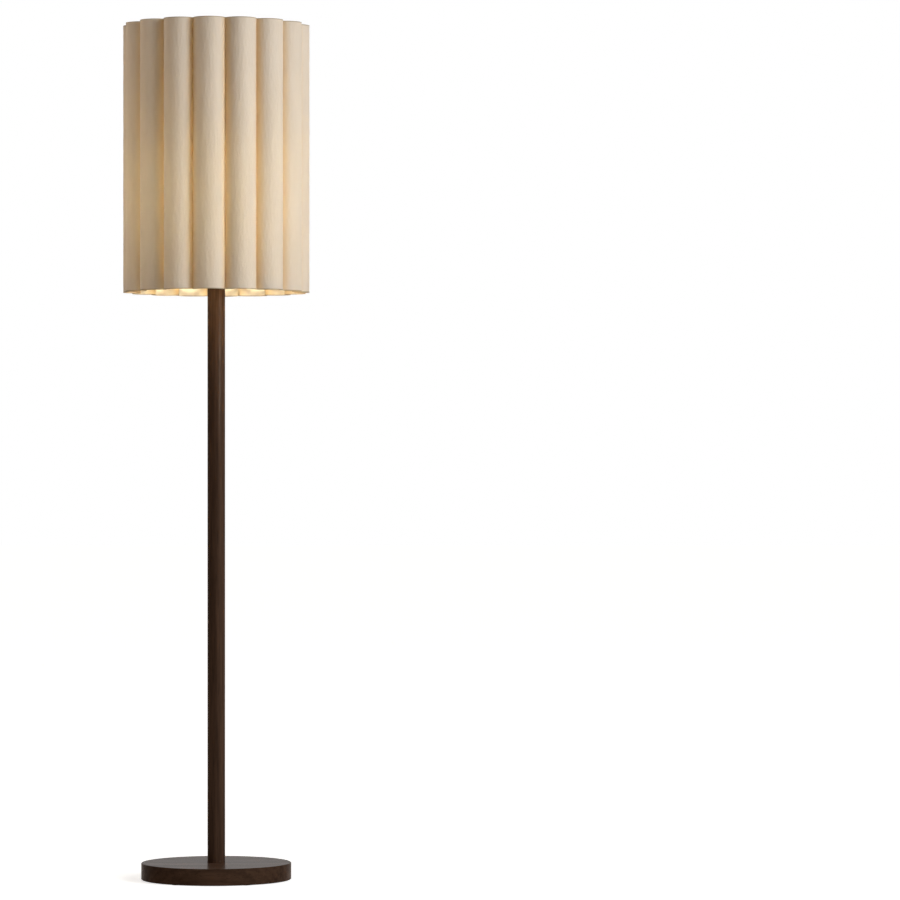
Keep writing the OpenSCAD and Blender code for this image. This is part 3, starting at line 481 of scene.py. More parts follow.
def creased_sheet():
    """Cream sheet: Principled outside, Translucent for the bulb's light. Its valleys carry painted shade
    and painted glow.
    """
    material, tree, shader, where = new_material("creased_cream_sheet")
    crease = use_group(tree, fine_creases, {"Position": where, "Size": CREASE_CELLS})
    cream = blend_colours(tree, fitted(tree, crease["Mottle"], 0.35, 0.65), SHEET_MOTTLE_DARK, SHEET_CREAM)
    radius = distance(tree, stretched(tree, where, (1.0, 1.0, 0.0)))
    valley = fitted(tree, radius, VALLEY_RADIUS, VALLEY_RADIUS + VALLEY_REACH, 1.0, 0.0)
    # Painted shade and painted glow: towards a valley the colour turns a darker, deeper gold.
    cream = blend_colours(tree, valley, cream, VALLEY_PAINTED_SHADE_GLOW)
    height = height_of(tree, where)
    low, high = (v.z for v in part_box("flute_01"))
    # Darker in a narrow band along the top and bottom ends: fully the edge colour within CUT_FACE of an
    # end, fading out by CUT_EDGE.
    edge = maths(tree, "ADD", fitted(tree, height, low + CUT_FACE, low + CUT_EDGE, 1.0, 0.0),
                 fitted(tree, height, high - CUT_EDGE, high - CUT_FACE, 0.0, 1.0), clamp=True)
    cream = blend_colours(tree, edge, cream, SHEET_EDGE)
    normal = bumped(tree, crease["Height"], FINE_CREASE_DEPTH, 0.9)
    fill(tree, shader, Base_Color=cream, Roughness=0.55, Specular_IOR_Level=0.08,
         Sheen_Weight=0.15, Sheen_Roughness=0.4, Normal=normal)
    glow = add(tree, "ShaderNodeBsdfTranslucent", {"Color": SHEET_GLOW, "Normal": normal})
    share = fitted(tree, valley, 0.0, 1.0, CREST_SHARE, VALLEY_SHARE)
    seam = fitted(tree, radius, VALLEY_RADIUS, VALLEY_RADIUS + SEAM_REACH, SEAM_FACTOR, 1.0)
    share = maths(tree, "MULTIPLY", share, seam)
    both = add(tree, "ShaderNodeMixShader", {0: share, 1: shader.outputs[0], 2: glow.outputs[0]})
    out = next(n for n in tree.nodes if n.type == "OUTPUT_MATERIAL")
    tree.links.new(both.outputs[0], out.inputs["Surface"])
    return material


sheet_material = creased_sheet()
print("material", sheet_material.name)

# %% [markdown]
# ## The flutes
# Each flute is the outer part of a round tube, cut off where it meets its neighbours. The outside
# carries the creases: a smooth random relief on a lattice whose cells are a few millimetres wide and
# several times as long. Where the relief changes sign it folds, which gives the broken, upright lines
# of the real sheet.

# %% Relief of the creases
FLUTES = sorted(n for n in NODES if n.startswith("flute_"))
SHADE_LOW, SHADE_HIGH = (v.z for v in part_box(FLUTES[0]))
CREST_RADIUS = -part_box(FLUTES[0])[0].y
FLUTE_DEPTH = 22 * MM
SHEET_THICK = 1.6 * MM
CREASE_DEPTH = 0.65 * MM
SWAY = 2.2 * MM
SWAY_CELL, SWELL_CELL = (14 * MM, 34 * MM), (18 * MM, 60 * MM)
WIDE_CELL, NARROW_CELL = (3.4 * MM, 13 * MM), (2.1 * MM, 7 * MM)


def lattice_relief(rng, across, up, cell):
    """Smooth random relief: heights from -1 to 1 on a lattice, joined by the step f^2 (3 - 2f)."""
    u, v = across / cell[0], up / cell[1]
    u, v = u - u.min(), v - v.min()
    i, j = np.floor(u).astype(int), np.floor(v).astype(int)
    heights = rng.uniform(-1, 1, (i.max() + 2, j.max() + 2))
    f, g = u - i, v - j
    f, g = f * f * (3 - 2 * f), g * g * (3 - 2 * g)
    low = heights[i, j] * (1 - f) + heights[i + 1, j] * f
    high = heights[i, j + 1] * (1 - f) + heights[i + 1, j + 1] * f
    return low * (1 - g) + high * g


def crease_relief(rng, across, up):
    """Depth of the creases below the sheet's face, from 0 to 1: folds at two sizes in a slow swell,
    (0.62 (1 - wide)^2 + 0.38 (1 - narrow)^2) (0.74 + 0.18 swell)."""
    sway = SWAY * lattice_relief(rng, across, up, SWAY_CELL)
    wide = np.abs(lattice_relief(rng, across + sway, up, WIDE_CELL))
    narrow = np.abs(lattice_relief(rng, across - sway, up, NARROW_CELL))
    swell = 0.5 + 0.5 * lattice_relief(rng, across, up, SWELL_CELL)
    return (0.62 * (1 - wide) ** 2 + 0.38 * (1 - narrow) ** 2) * (0.74 + 0.18 * swell)


print(len(FLUTES), "flutes from z", round(SHADE_LOW, 4), "to", round(SHADE_HIGH, 4))

# %% [markdown]
# The arc through a crest and the two valleys beside it fixes the tube: its centre lies on the crest's
# heading. The inner face is the same arc, one sheet thickness smaller, and both end on the plane where
# two flutes meet. A closed shell is made of the two faces and of the narrow rims that join them. The
# creases fade out at the seams and at the cut ends, so that neighbours still meet.

# %% Make the flutes
ACROSS_STEPS = 66
UP_STEPS = 150
HALF_PITCH = math.pi / len(FLUTES)
SEAM_FADE = 0.06
END_FADE = 4 * MM
FLUTE_SEED = 700


def arc_ends(centre, radius):
    """Angle at which an arc around the point (centre, 0) reaches the plane between two flutes."""
    foot = centre * math.cos(HALF_PITCH)
    reach = foot + math.sqrt(radius ** 2 - (centre * math.sin(HALF_PITCH)) ** 2)
    return math.atan2(reach * math.sin(HALF_PITCH), reach * math.cos(HALF_PITCH) - centre)


def make_flute(index, node):
    """One flute around its heading: point = centre + (radius - crease) (cos t, sin t), height."""
    rng = np.random.default_rng(FLUTE_SEED + index)
    valley = CREST_RADIUS - FLUTE_DEPTH
    centre = (CREST_RADIUS ** 2 - valley ** 2) / (2 * (CREST_RADIUS - valley * math.cos(HALF_PITCH)))
    outer, inner = CREST_RADIUS - centre, CREST_RADIUS - centre - SHEET_THICK
    share = np.linspace(-1, 1, ACROSS_STEPS)
    up = np.linspace(SHADE_LOW, SHADE_HIGH, UP_STEPS)
    share, up = np.meshgrid(share, up)
    angle = share * arc_ends(centre, outer)
    fade = (np.clip((1 - np.abs(share)) / SEAM_FADE, 0, 1)
            * np.clip(np.minimum(up - SHADE_LOW, SHADE_HIGH - up) / END_FADE, 0, 1))
    radius = outer - CREASE_DEPTH * fade * crease_relief(rng, outer * angle, up)
    heading = -math.pi / 2 + 2 * HALF_PITCH * index

    def placed(radius, angle):
        x, y = centre + radius * np.cos(angle), radius * np.sin(angle)
        return np.stack([x * math.cos(heading) - y * math.sin(heading),
                         x * math.sin(heading) + y * math.cos(heading), up], -1)

    outside = placed(radius, angle)
    inside = placed(inner, share * arc_ends(centre, inner))[:, ::-1]
    ring = np.concatenate([outside, inside], axis=1)
    walls = grid_faces(UP_STEPS, 2 * ACROSS_STEPS)
    k = np.arange(ACROSS_STEPS - 1)
    rim = np.stack([k, k + 1, 2 * ACROSS_STEPS - 2 - k, 2 * ACROSS_STEPS - 1 - k], -1)
    faces = np.concatenate([walls, rim, rim[:, ::-1] + (UP_STEPS - 1) * 2 * ACROSS_STEPS])
    piece = mesh_piece(node.replace("flute", "fluted_sheet"), ring, faces, sharp=50.0)
    piece.data.materials.append(sheet_material)
    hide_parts(node)
    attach(piece, "shade")
    return piece


sheets = [make_flute(index, node) for index, node in enumerate(FLUTES)]
print("flutes of", len(sheets[0].data.polygons), "faces each")

# %% [markdown]
# ## Finishes of the hidden parts
# Under the shade and inside the base the lamp is brass, zinc-plated steel, black moulded plastic,
# enamel and felt. The metals share one group: turned and drawn metal carries fine lines, a slow drift
# of tone and a little dullness, and none of these is the same twice.

# %% Metal group
LINE_DRAW, LINE_CELLS, LINE_DEPTH = 0.06, 5200.0, 0.02 * MM
TARNISH_CELLS = 90.0


def make_metal_group():
    """Fine rings round Z and slow clouds, which blend the colour from dull to clean."""
    group, given, out = new_group(
        "worked_metal",
        {"Position": "Vector", "Clean": "Color", "Dull": "Color", "Polish": "Float"},
        {"Colour": "Color", "Height": "Float", "Roughness": "Float"})
    drawn = stretched(group, given["Position"], (LINE_DRAW, LINE_DRAW, 1.0))
    rings = speckle(group, drawn, LINE_CELLS, detail=2.0, roughness=0.6)
    cloud = speckle(group, given["Position"], TARNISH_CELLS, detail=4.0, roughness=0.6)
    colour = blend_colours(group, fitted(group, cloud, 0.36, 0.62), given["Dull"], given["Clean"])
    rough = maths(group, "ADD", given["Polish"], fitted(group, cloud, 0.3, 0.7, 0.10, -0.04))
    rough = maths(group, "ADD", rough, fitted(group, rings, 0.3, 0.7, -0.04, 0.05), clamp=True)
    group.links.new(colour, out["Colour"])
    group.links.new(rings, out["Height"])
    group.links.new(rough, out["Roughness"])
    return group


worked_metal = make_metal_group()


def metal(name, clean, dull, polish):
    """Worked metal: the group's colour and roughness on a fully metallic surface."""
    material, tree, shader, where = new_material(name)
    worked = use_group(tree, worked_metal, {"Position": where, "Clean": (*clean, 1.0),
                                            "Dull": (*dull, 1.0), "Polish": polish})
    fill(tree, shader, Base_Color=worked["Colour"], Roughness=worked["Roughness"], Metallic=1.0,
         Normal=bumped(tree, worked["Height"], LINE_DEPTH, 0.5))
    return material


METALS = {
    "brass": ("satin_brass", (0.72, 0.50, 0.20), (0.52, 0.34, 0.13), 0.26),
    "zinc_steel": ("zinc_plate", (0.62, 0.63, 0.64), (0.42, 0.43, 0.45), 0.34),
    "ballast_steel": ("rolled_steel", (0.30, 0.31, 0.33), (0.16, 0.165, 0.18), 0.46),
    "bulb_cap_metal": ("nickel_plate", (0.70, 0.68, 0.63), (0.55, 0.53, 0.49), 0.28),
}
metals = {slot: metal(*recipe) for slot, recipe in METALS.items()}
print("metals:", [made.name for made in metals.values()])

# %% [markdown]
# Moulded plastic, powder coat and enamel are not metallic. They differ in how large and how deep their
# skin texture is: orange peel on enamel, fine grit on powder coat, a faint spark-eroded grain on
# mouldings. One function makes them all. Each slot's row gives the material's name, its light and dark
# colour, its roughness, and the grain's cells to the metre and depth.

# %% Coated and moulded finishes
CLOUD_CELLS = 60.0
ROUGHNESS_DRIFT = 0.05


def coated(name, light, dark, rough, cells, depth):
    """A skin with clouds of two near colours and a grain, `cells` to the metre and `depth` metres deep."""
    material, tree, shader, where = new_material(name)
    cloud = fitted(tree, speckle(tree, where, CLOUD_CELLS, detail=4.0, roughness=0.6), 0.36, 0.64)
    grain = speckle(tree, where, cells, detail=2.0, roughness=0.5)
    fill(tree, shader, Base_Color=blend_colours(tree, cloud, (*dark, 1.0), (*light, 1.0)),
         Roughness=fitted(tree, grain, 0.3, 0.7, rough - ROUGHNESS_DRIFT, rough + ROUGHNESS_DRIFT),
         Normal=bumped(tree, grain, depth, 0.6))
    return material


COATS = {
    "black_plastic": ("black_moulding", (0.02, 0.02, 0.021), (0.012, 0.012, 0.012), 0.46, 2600.0, 4e-5),
    "dark_phenolic": ("dark_phenolic", (0.034, 0.024, 0.018), (0.02, 0.013, 0.01), 0.36, 1800.0, 3e-5),
    "block_plastic": ("cream_moulding", (0.66, 0.63, 0.55), (0.58, 0.55, 0.47), 0.5, 2400.0, 4e-5),
    "lead_sheath": ("white_sheath", (0.74, 0.72, 0.67), (0.66, 0.64, 0.59), 0.45, 1500.0, 4e-5),
    "black_steel": ("black_powder_coat", (0.03, 0.03, 0.031), (0.019, 0.019, 0.02), 0.52, 1400.0, 9e-5),
    "frame_enamel": ("cream_enamel", (0.71, 0.66, 0.56), (0.63, 0.58, 0.48), 0.34, 620.0, 6e-5),
    "bulb_white": ("white_bulb_skin", (0.80, 0.78, 0.74), (0.74, 0.72, 0.68), 0.38, 900.0, 3e-5),
    "circuit_board": ("green_board", (0.03, 0.115, 0.045), (0.018, 0.075, 0.03), 0.34, 1200.0, 5e-5),
    "light_board": ("white_board", (0.80, 0.79, 0.74), (0.72, 0.71, 0.66), 0.4, 1200.0, 4e-5),
}
coats = {slot: coated(*recipe) for slot, recipe in COATS.items()}
print("coats:", [made.name for made in coats.values()])

# %% [markdown]
# ## Opal dome and felt
# The bulb is lit, so its opal dome glows by itself: strongest in the middle of the globe, where the
# diodes below shine straight up. The felt pads are matted wool: two sizes of fibre noise over a
# grey-brown.

# %% Opal and felt
BULB_LIGHT = (1.0, 1.00, 0.74, 1.0)
OPAL_WHITE = (0.92, 0.90, 0.84, 1.0)
DOME_STRENGTH, FOOT_SHARE = 2.2, 0.55
OPAL_CELLS = 70.0
FELT_DARK = (0.060, 0.055, 0.050, 1.0)
FELT_LIGHT = (0.105, 0.097, 0.088, 1.0)
FIBRE_TIPS = (0.16, 0.15, 0.14, 1.0)
NAP_CELLS, FELT_CELLS = 2400.0, 260.0
NAP_DEPTH = 0.4 * MM


def opal(name):
    """Glowing opal: the emission fades a little towards the foot of the dome."""
    material, tree, shader, where = new_material(name)
    low, high = (v.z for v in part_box("bulb_dome"))
    share = fitted(tree, height_of(tree, where), low, high, FOOT_SHARE, 1.0)
    cloud = fitted(tree, speckle(tree, where, OPAL_CELLS, detail=3.0), 0.3, 0.7, 0.94, 1.0)
    glow = blend_colours(tree, 1.0, BULB_LIGHT, maths(tree, "MULTIPLY", share, cloud), "MULTIPLY")
    fill(tree, shader, Base_Color=OPAL_WHITE, Roughness=0.35, Emission_Color=glow,
         Emission_Strength=DOME_STRENGTH)
    return material


def felt_cloth(name):
    """Matted wool felt: clouds of colour and a nap of short fibres."""
    material, tree, shader, where = new_material(name)
    nap = speckle(tree, where, NAP_CELLS, detail=4.0, roughness=0.7, twist=0.6)
    cloud = fitted(tree, speckle(tree, where, FELT_CELLS, detail=3.0), 0.35, 0.65)
    wool = blend_colours(tree, cloud, FELT_DARK, FELT_LIGHT)
    wool = blend_colours(tree, fitted(tree, nap, 0.4, 0.65, 0.0, 0.6), wool, FIBRE_TIPS)
    fill(tree, shader, Base_Color=wool, Roughness=0.95, Sheen_Weight=0.35,
         Normal=bumped(tree, nap, NAP_DEPTH, 0.8))
    return material


opal_dome = opal("lit_opal")
felt_grey = felt_cloth("grey_felt")
print("materials", opal_dome.name, felt_grey.name)

# %% [markdown]
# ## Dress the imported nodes
# Most rigid pieces are already the right shape, so they keep their meshes and only take a finish. The
# table names the finish of each material slot of the record.

# %% Finish every node by its slot
FINISH_OF_SLOT = {**metals, **coats, "felt": felt_grey, "opal_dome": opal_dome,
                  "shade_sheet": sheet_material, "dark_wood": pole_wood}
for node, slot in SLOT_OF.items():
    finish = base_wood if node == "base_disc" else FINISH_OF_SLOT[slot]
    NODES[node].data.materials.clear()
    NODES[node].data.materials.append(finish)
print("dressed", len(SLOT_OF), "nodes")

# %% [markdown]
# ## Harp wire
# The harp is one length of brass wire, bent on a jig: out above each sleeve, back to upright, and round
# over the crown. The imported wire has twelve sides; this one follows the same bends with round ones. The
# route is a list of moves, and the far half is the near half in reverse.

# %% Bend the harp
HARP_RADIUS = 2 * MM
LEG_BEND = 25 * MM
LEG_STRAIGHT = 23 * MM
LEG_TURN = 40.0
CROWN_BEND = 48 * MM


def stands_for(piece, body, node):
    """Gives a piece its finish, hides the node that it stands for and puts it on the node's body."""
    piece.data.materials.append(FINISH_OF_SLOT[SLOT_OF[node]])
    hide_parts(node)
    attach(piece, body)
    return piece


def harp_route():
    """Points (across, up) of the harp's wire. The slanted length closes the step between leg and side:
    step = 2 r (1 - cos a) + slant sin a."""
    low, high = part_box("harp_wire")
    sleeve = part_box("right_sleeve")
    leg_x = (sleeve[0].x + sleeve[1].x) / 2
    side_x = high.x - high.y
    a = math.radians(LEG_TURN)
    slant = (side_x - leg_x - 2 * LEG_BEND * (1 - math.cos(a))) / math.sin(a)
    side_foot = low.z + LEG_STRAIGHT + 2 * LEG_BEND * math.sin(a) + slant * math.cos(a)
    side = high.z - high.y - CROWN_BEND - side_foot
    moves = [(LEG_STRAIGHT, LEG_BEND, LEG_TURN), (slant, LEG_BEND, -LEG_TURN), (side, CROWN_BEND, -90),
             (2 * (side_x - CROWN_BEND), CROWN_BEND, -90), (side, LEG_BEND, -LEG_TURN),
             (slant, LEG_BEND, LEG_TURN), (LEG_STRAIGHT, 0, 0)]
    return bent_path((leg_x, low.z), 0, moves)


route = harp_route()
harp_path = np.stack([route[:, 0], 0 * route[:, 0], route[:, 1]], -1)
stands_for(wire("bent_harp_wire", harp_path, HARP_RADIUS, (0, 1, 0), sides=24), "harp", "harp_wire")
print("harp wire", path_length(harp_path), "m long")

# %% [markdown]
# ## Threads of bulb and holder
# The bulb's cap and the screw shell that takes it are thin metal with a rolled thread of seven turns to
# the inch. A thread is a turned piece whose radius also depends on height and angle together, so the
# ridge climbs one pitch in each turn. The cap's thread is rolled inwards from its widest, the shell's
# outwards from its bore, and so the bulb can be drawn straight out in the model.

# %% Roll the threads
THREAD_PITCH = 25.4 / 7 * MM
CAP_WALL, CAP_THREAD = 0.3 * MM, -0.7 * MM
SHELL_WALL, SHELL_THREAD = 0.35 * MM, 0.45 * MM
SHELL_HOLE = 5 * MM
LIP_HEIGHT, LIP_REACH = 0.5 * MM, 0.8 * MM


def rolled_cap():
    """The bulb's cap: a closed outline up the outside, over the rim and down the inside."""
    low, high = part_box("bulb_cap")
    r, z0, z1 = high.x, low.z, high.z
    outline = [(0, z0, 0), (r - 1.5 * MM, z0, 0.8 * MM), (r, z0 + 1.6 * MM, 0.8 * MM), (r, z1, 0.1 * MM),
               (r - CAP_WALL, z1, 0.1 * MM), (r - CAP_WALL, z0 + 1.8 * MM, 0.7 * MM),
               (r - 1.6 * MM, z0 + CAP_WALL, 0.7 * MM), (0, z0 + CAP_WALL, 0)]
    return threaded("rolled_bulb_cap", outline, z0 + 1.5 * MM, z1 - 2.5 * MM, THREAD_PITCH, CAP_THREAD)


def rolled_shell():
    """The screw shell: a cup with a hole in its floor, a thread in its wall and a turned-out lip."""
    low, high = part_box("screw_shell")
    bore, z0, z1 = high.x - 0.5 * MM, low.z, high.z
    wall, lip = bore + SHELL_WALL, bore + LIP_REACH
    outline = [(SHELL_HOLE, z0, 0.05 * MM), (wall, z0, 1.0 * MM), (wall, z1 - 0.6 * MM, 0.3 * MM),
               (lip, z1 - LIP_HEIGHT, 0.1 * MM), (lip, z1, 0.1 * MM), (bore, z1, 0.3 * MM),
               (bore, z0 + SHELL_WALL, 1.0 * MM), (SHELL_HOLE, z0 + SHELL_WALL, 0.05 * MM)]
    low, high = z0 + 1.5 * MM, z1 - 1.5 * MM
    return threaded("rolled_screw_shell", outline, low, high, THREAD_PITCH, SHELL_THREAD)


bulb_cap = stands_for(rolled_cap(), "bulb", "bulb_cap")
screw_shell = stands_for(rolled_shell(), "lamp", "screw_shell")
print("threads of", len(bulb_cap.data.polygons), "and", len(screw_shell.data.polygons), "faces")

# %% [markdown]
# ## Globe of the bulb
# The bulb's body and its opal dome are one smooth curve: half a cosine wave that swells from the cap to
# the widest place, and half a sphere above it. Both are thin walls, so the outline runs up the outside
# and back down the inside.

# %% Turn the globe
GLOBE_WALL = 1.2 * MM
NECK_STEP = 0.7 * MM
STEEPEST = 50


def globe_outline(heights):
    """Radius of the globe at each height: a cosine swell up to its centre, then a circle."""
    cap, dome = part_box("bulb_cap"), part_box("bulb_dome")
    globe = dome[1].x
    centre, foot = dome[1].z - globe, cap[1].z
    neck = cap[1].x - NECK_STEP
    swell = (1 - np.cos(math.pi * np.clip((heights - foot) / (centre - foot), 0, 1))) / 2
    cap_part = np.sqrt(np.clip(globe ** 2 - np.clip(heights - centre, 0, globe) ** 2, 0, None))
    return np.where(heights > centre, cap_part, neck + (globe - neck) * swell)


def globe_part(name, node, rows):
    """A thin wall over a node's height; its inside is the outside moved in by the wall's thickness."""
    low, high = (v.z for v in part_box(node))
    heights = low + (high - low) * np.sin(np.linspace(0, math.pi / 2, rows))
    radius = globe_outline(heights)
    slope = np.clip(np.gradient(radius, heights + np.arange(rows) * 1e-9), -STEEPEST, STEEPEST)
    tilt = np.sqrt(1 + slope ** 2)
    closes = radius[-1] < GLOBE_WALL
    inner_r = np.clip(radius - GLOBE_WALL / tilt, 0, None)
    inner_z = np.clip(heights + GLOBE_WALL * slope / tilt, low, high - GLOBE_WALL * closes)
    inner_r[-1] = 0 if closes else inner_r[-1]
    outline = np.concatenate([np.stack([radius, heights], -1), np.stack([inner_r, inner_z], -1)[::-1]])
    return stands_for(turned(name, outline[:, 0:1], outline[:, 1:2]), "bulb", node)


bulb_body = globe_part("bulb_shell", "bulb_body", rows=28)
globe = globe_part("opal_globe", "bulb_dome", rows=40)
# The bulb's light sits inside these pieces, so they must not shade it.
for part in (globe, bulb_body, NODES["led_board"], NODES["bulb_driver"]):
    part.visible_shadow = False

# %% [markdown]
# ## Internal lead
# A two-core lead runs from the terminal block along the base and up the pipe. It leaves the block as
# two thin cores, which come together in a round sheath. All of it is held by the parts around it, so
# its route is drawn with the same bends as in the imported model.

# %% Lay the lead
LEAD_RADIUS, CORE_RADIUS = 1.8 * MM, 0.8 * MM
FOOT_BEND = 4 * MM
LEAD_HEIGHT = 5.5 * MM
RISE_TURN = 60
SHEATH_END = 1 * MM
WAY_PITCH = 10 * MM
CORE_SPREAD, CORE_SETTLE = 8 * MM, 1.5 * MM
CORE_TAIL, CORE_GRIP, CORE_STEPS = 2 * MM, 6 * MM, 24


def lead_route():
    """Points (back, up) of the lead's sheath: down the pipe, along the base and up to the block. The two
    bends of 60 degrees climb 2 r (1 - cos 60) together, which gives their radius r."""
    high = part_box("internal_lead")[1]
    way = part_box("terminal_tubes")
    way_z = (way[0].z + way[1].z) / 2
    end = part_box("terminal_block")[0].y - CORE_SPREAD
    bend = (way_z - LEAD_HEIGHT) / (2 * (1 - math.cos(math.radians(RISE_TURN))))
    s_bend = 2 * bend * math.sin(math.radians(RISE_TURN))
    moves = [(high.z - LEAD_HEIGHT - FOOT_BEND, FOOT_BEND, -90),
             (end - s_bend - FOOT_BEND, bend, -RISE_TURN), (0, bend, RISE_TURN), (SHEATH_END, 0, 0)]
    return bent_path((0, high.z), 180, moves), end, way_z


def core_path(side, end, way_z):
    """One core: across = side (r + (pitch/2 - r) f^2 (3 - 2f)) while f goes from 0 to 1 along it."""
    back = np.linspace(end - CORE_TAIL, end + CORE_SPREAD + CORE_GRIP, CORE_STEPS)
    f = np.clip((back - end) / (CORE_SPREAD - CORE_SETTLE), 0, 1)
    across = side * (CORE_RADIUS + (WAY_PITCH / 2 - CORE_RADIUS) * f * f * (3 - 2 * f))
    return np.stack([across, back, 0 * back + way_z], -1)


sheath, lead_end, way_z = lead_route()
sheath_path = np.stack([0 * sheath[:, 0], sheath[:, 0], sheath[:, 1]], -1)
stands_for(wire("lead_sheath", sheath_path, LEAD_RADIUS, (1, 0, 0), sides=16), "lamp", "internal_lead")
for name, side in (("lead_core_left", -1), ("lead_core_right", 1)):
    core = wire(name, core_path(side, lead_end, way_z), CORE_RADIUS, (0, 0, 1), sides=12)
    stands_for(core, "lamp", "internal_lead")
print("lead", path_length(sheath_path), "m long")

# %% [markdown]
# ## Felt pads
# Six discs punched from thick felt sit in shallow recesses under the base. A punch leaves a slightly
# rounded edge and the weight of the lamp leaves the face a little uneven, so each pad is a low turned
# cushion with a random swell.

# %% Punch the pads
PADS = 6
PAD_RADIUS = 8 * MM
PAD_ROWS, PAD_SIDES = 14, 40
PAD_SWELL = 0.06 * MM
PAD_CELL = (3 * MM, 3 * MM)
PAD_SEED = 40


def felt_pad(rng, place, height):
    """Corners of one pad, flat above. Its underside lies at 0.28 height s^10 + |swell| (1 - s^4) for the
    share s of the radius, which rounds the edge and leaves the middle uneven."""
    angle = np.linspace(0, TURN, PAD_SIDES, endpoint=False)
    share, angle = np.meshgrid(np.linspace(0, 1, PAD_ROWS), angle, indexing="ij")
    share = np.sin(share * math.pi / 2)
    across, along = share * PAD_RADIUS * np.cos(angle), share * PAD_RADIUS * np.sin(angle)
    swell = PAD_SWELL * lattice_relief(rng, across + PAD_RADIUS, along + PAD_RADIUS, PAD_CELL)
    low = height * 0.28 * share ** 10 + np.abs(swell) * (1 - share ** 4)
    x, y = place[0] + across, place[1] + along
    under = np.stack([x, y, low], -1)
    over = np.stack([x, y, height + 0 * x], -1)[::-1]
    return np.concatenate([under, over])


def felt_pads():
    """All the pads in one mesh, each a closed grid round its own axis."""
    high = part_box("felt_feet")[1]
    ring = high.x - PAD_RADIUS
    corners, faces = [], []
    for k in range(PADS):
        rng = np.random.default_rng(PAD_SEED + k)
        heading = TURN * k / PADS
        pad = felt_pad(rng, (ring * math.cos(heading), ring * math.sin(heading)), high.z).reshape(-1, 3)
        faces.append(grid_faces(2 * PAD_ROWS, PAD_SIDES, closed=True) + k * len(pad))
        corners.append(pad)
    return mesh_piece("punched_felt_pads", np.concatenate(corners), np.concatenate(faces), sharp=70.0)


pads = stands_for(felt_pads(), "lamp", "felt_feet")
print("pads", len(pads.data.polygons), "faces")

# %% [markdown]
# ## Light
# The lamp stands in plain studio light: a large, slightly cool soft box at the right and a little in
# front, a weak, warm one at the left, and an even warm grey from all round. A third box at the right is
# seen by gloss alone: it draws the pole's long line of light and adds nothing else. The bulb is a small
# warm light that fills the shade. Three wide cones inside the shade's wall stand for what the lit wall
# throws down on the pole, because so soft a bounce needs too many rays to come out clean.

# %% Studio lights
LAMP_MIDDLE, SHADE_SIDE = (0, 0, 0.9), (0, 0, 1.4)
BULB_SOFTNESS = 0.8
WALL_GLOWS = 3
WALL_PLACE, WALL_RISE = 0.125, 0.07
CONE_WIDTH, CONE_TILT, CONE_SOFTNESS = math.radians(54), math.radians(43), 0.03


def new_light(name, kind, power, colour):
    """A light that the camera can't see; returns its object and its lamp."""
    lamp = bpy.data.lights.new(name, kind)
    lamp.energy, lamp.color = power, colour
    light = bpy.data.objects.new(name, lamp)
    bpy.context.scene.collection.objects.link(light)
    light.visible_camera = False
    return light, lamp


def soft_box(name, place, aim, size, power, tint, tall=1.0):
    """An area light at `place` that faces `aim`, `tall` times as high as it is wide."""
    light, lamp = new_light(name, "AREA", power, tint)
    lamp.shape, lamp.size, lamp.size_y = "RECTANGLE", size, size * tall
    light.location = place
    way = np.subtract(aim, place)
    flat = math.hypot(way[0], way[1])
    light.rotation_euler = (math.atan2(flat, -way[2]), 0, math.atan2(-way[0], way[1]))
    return light


def bulb_light(power):
    """A warm round light in the middle of the opal dome's globe."""
    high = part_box("bulb_dome")[1]
    light, lamp = new_light("bulb_light", "POINT", power, BULB_LIGHT[:3])
    lamp.shadow_soft_size = BULB_SOFTNESS * high.x
    light.location = (0, 0, high.z - high.x)
    light.visible_glossy = False


def wall_glow(number, heading, power):
    """A wide cone of the bulb's light, tinted by the sheet, from inside the wall down to the pole."""
    tint = [a * b for a, b in zip(BULB_LIGHT[:3], SHEET_CREAM[:3])]
    light, lamp = new_light(f"wall_glow_{number}", "SPOT", power, tint)
    lamp.spot_size, lamp.spot_blend, lamp.shadow_soft_size = CONE_WIDTH, 1.0, CONE_SOFTNESS
    x, y = WALL_PLACE * math.cos(heading), WALL_PLACE * math.sin(heading)
    light.location = (x, y, SHADE_LOW + WALL_RISE)
    light.rotation_euler = (CONE_TILT, 0, heading + math.pi / 2)


soft_box("key_box", (3.255, -1.879, 2.268), LAMP_MIDDLE, 2.0, 125.0, (0.955, 1.0, 1.03))
soft_box("fill_box", (-1.575, -0.28, 1.75), SHADE_SIDE, 1.2, 7.9, (1.0, 0.86, 0.72))
sheen = soft_box("sheen_box", (3.083, -2.409, 1.55), LAMP_MIDDLE, 1.0, 364.0, (1.0, 0.88, 0.76), 1.3)
sheen.visible_diffuse = sheen.visible_transmission = False
bulb_light(4.8)
for k in range(WALL_GLOWS):
    wall_glow(k, math.radians(30 + 120 * k), 1.5)

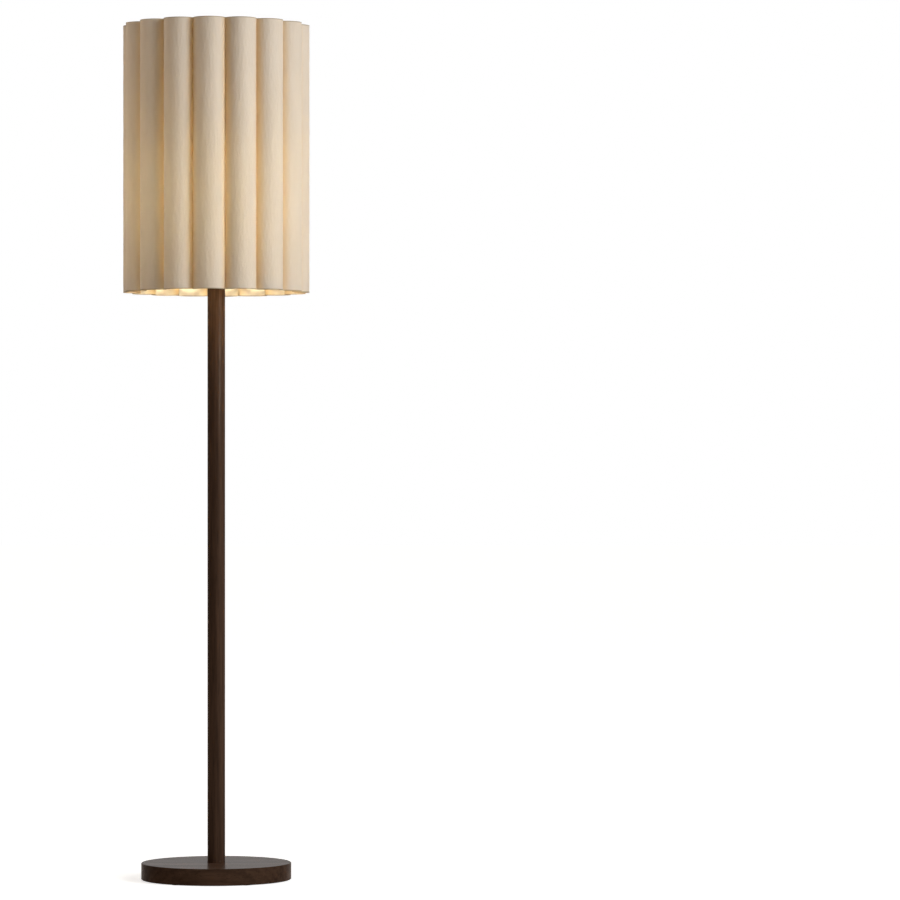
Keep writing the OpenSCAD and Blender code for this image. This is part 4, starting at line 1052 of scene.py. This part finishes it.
# %% [markdown]
# ## Backdrop and floor
# White behind the lamp is a colour, not a light: the world is white to camera, mirror and glass rays
# and a warm grey to everything else. The floor is a pale sheet that adds just enough for the camera to
# turn white where it is lit, so that only the lamp's shadow stays on it. Away from the lamp less light
# reaches the floor, so it adds more there.

# %% World and floor
WHITE = (1.0, 1.0, 1.0, 1.0)
FLOOR_GREY = (0.80, 0.80, 0.80, 1.0)
LIFT_FROM, LIFT_TO = 1.0, 3.0


def seen_directly(tree):
    """1 for camera, mirror and glass rays, 0 for the rays that light other things."""
    path = add(tree, "ShaderNodeLightPath").outputs
    seen = maths(tree, "MAXIMUM", path["Is Camera Ray"], path["Is Glossy Ray"])
    return maths(tree, "MAXIMUM", seen, path["Is Transmission Ray"])


def make_world(ambient):
    """A world that lights with a warm grey and shows white."""
    world = bpy.data.worlds.new("studio")
    bpy.context.scene.world = world
    tree, surface = empty_tree(world, "ShaderNodeOutputWorld")
    colour = blend_colours(tree, seen_directly(tree), ambient, WHITE)
    back = add(tree, "ShaderNodeBackground", {"Color": colour, "Strength": 1.0})
    tree.links.new(back.outputs[0], surface)


def make_floor(half_width, near_lift, far_lift):
    """A wide pale floor; the camera sees a lift added to what the light gives it, which grows from
    `near_lift` at one metre from the lamp to `far_lift` at three."""
    corners = np.array([[-1, -1, 0], [1, -1, 0], [1, 1, 0], [-1, 1, 0]], float) * half_width
    floor = mesh_piece("floor", corners, np.array([[0, 1, 2, 3]]))
    material = bpy.data.materials.new("pale_floor")
    tree, surface = empty_tree(material, "ShaderNodeOutputMaterial")
    matt = add(tree, "ShaderNodeBsdfDiffuse", {"Color": FLOOR_GREY})
    away = distance(tree, add(tree, "ShaderNodeTexCoord").outputs["Object"])
    lift = fitted(tree, away, LIFT_FROM, LIFT_TO, near_lift, far_lift)
    shown = maths(tree, "MULTIPLY", seen_directly(tree), lift)
    extra = add(tree, "ShaderNodeEmission", {"Color": WHITE, "Strength": shown})
    both = add(tree, "ShaderNodeAddShader", {0: matt.outputs[0], 1: extra.outputs[0]})
    tree.links.new(both.outputs[0], surface)
    floor.data.materials.append(material)


make_world((0.160, 0.135, 0.118, 1.0))
make_floor(40.0, 0.70, 0.90)
bpy.context.scene.view_settings.view_transform = "Standard"
print("stage ready")
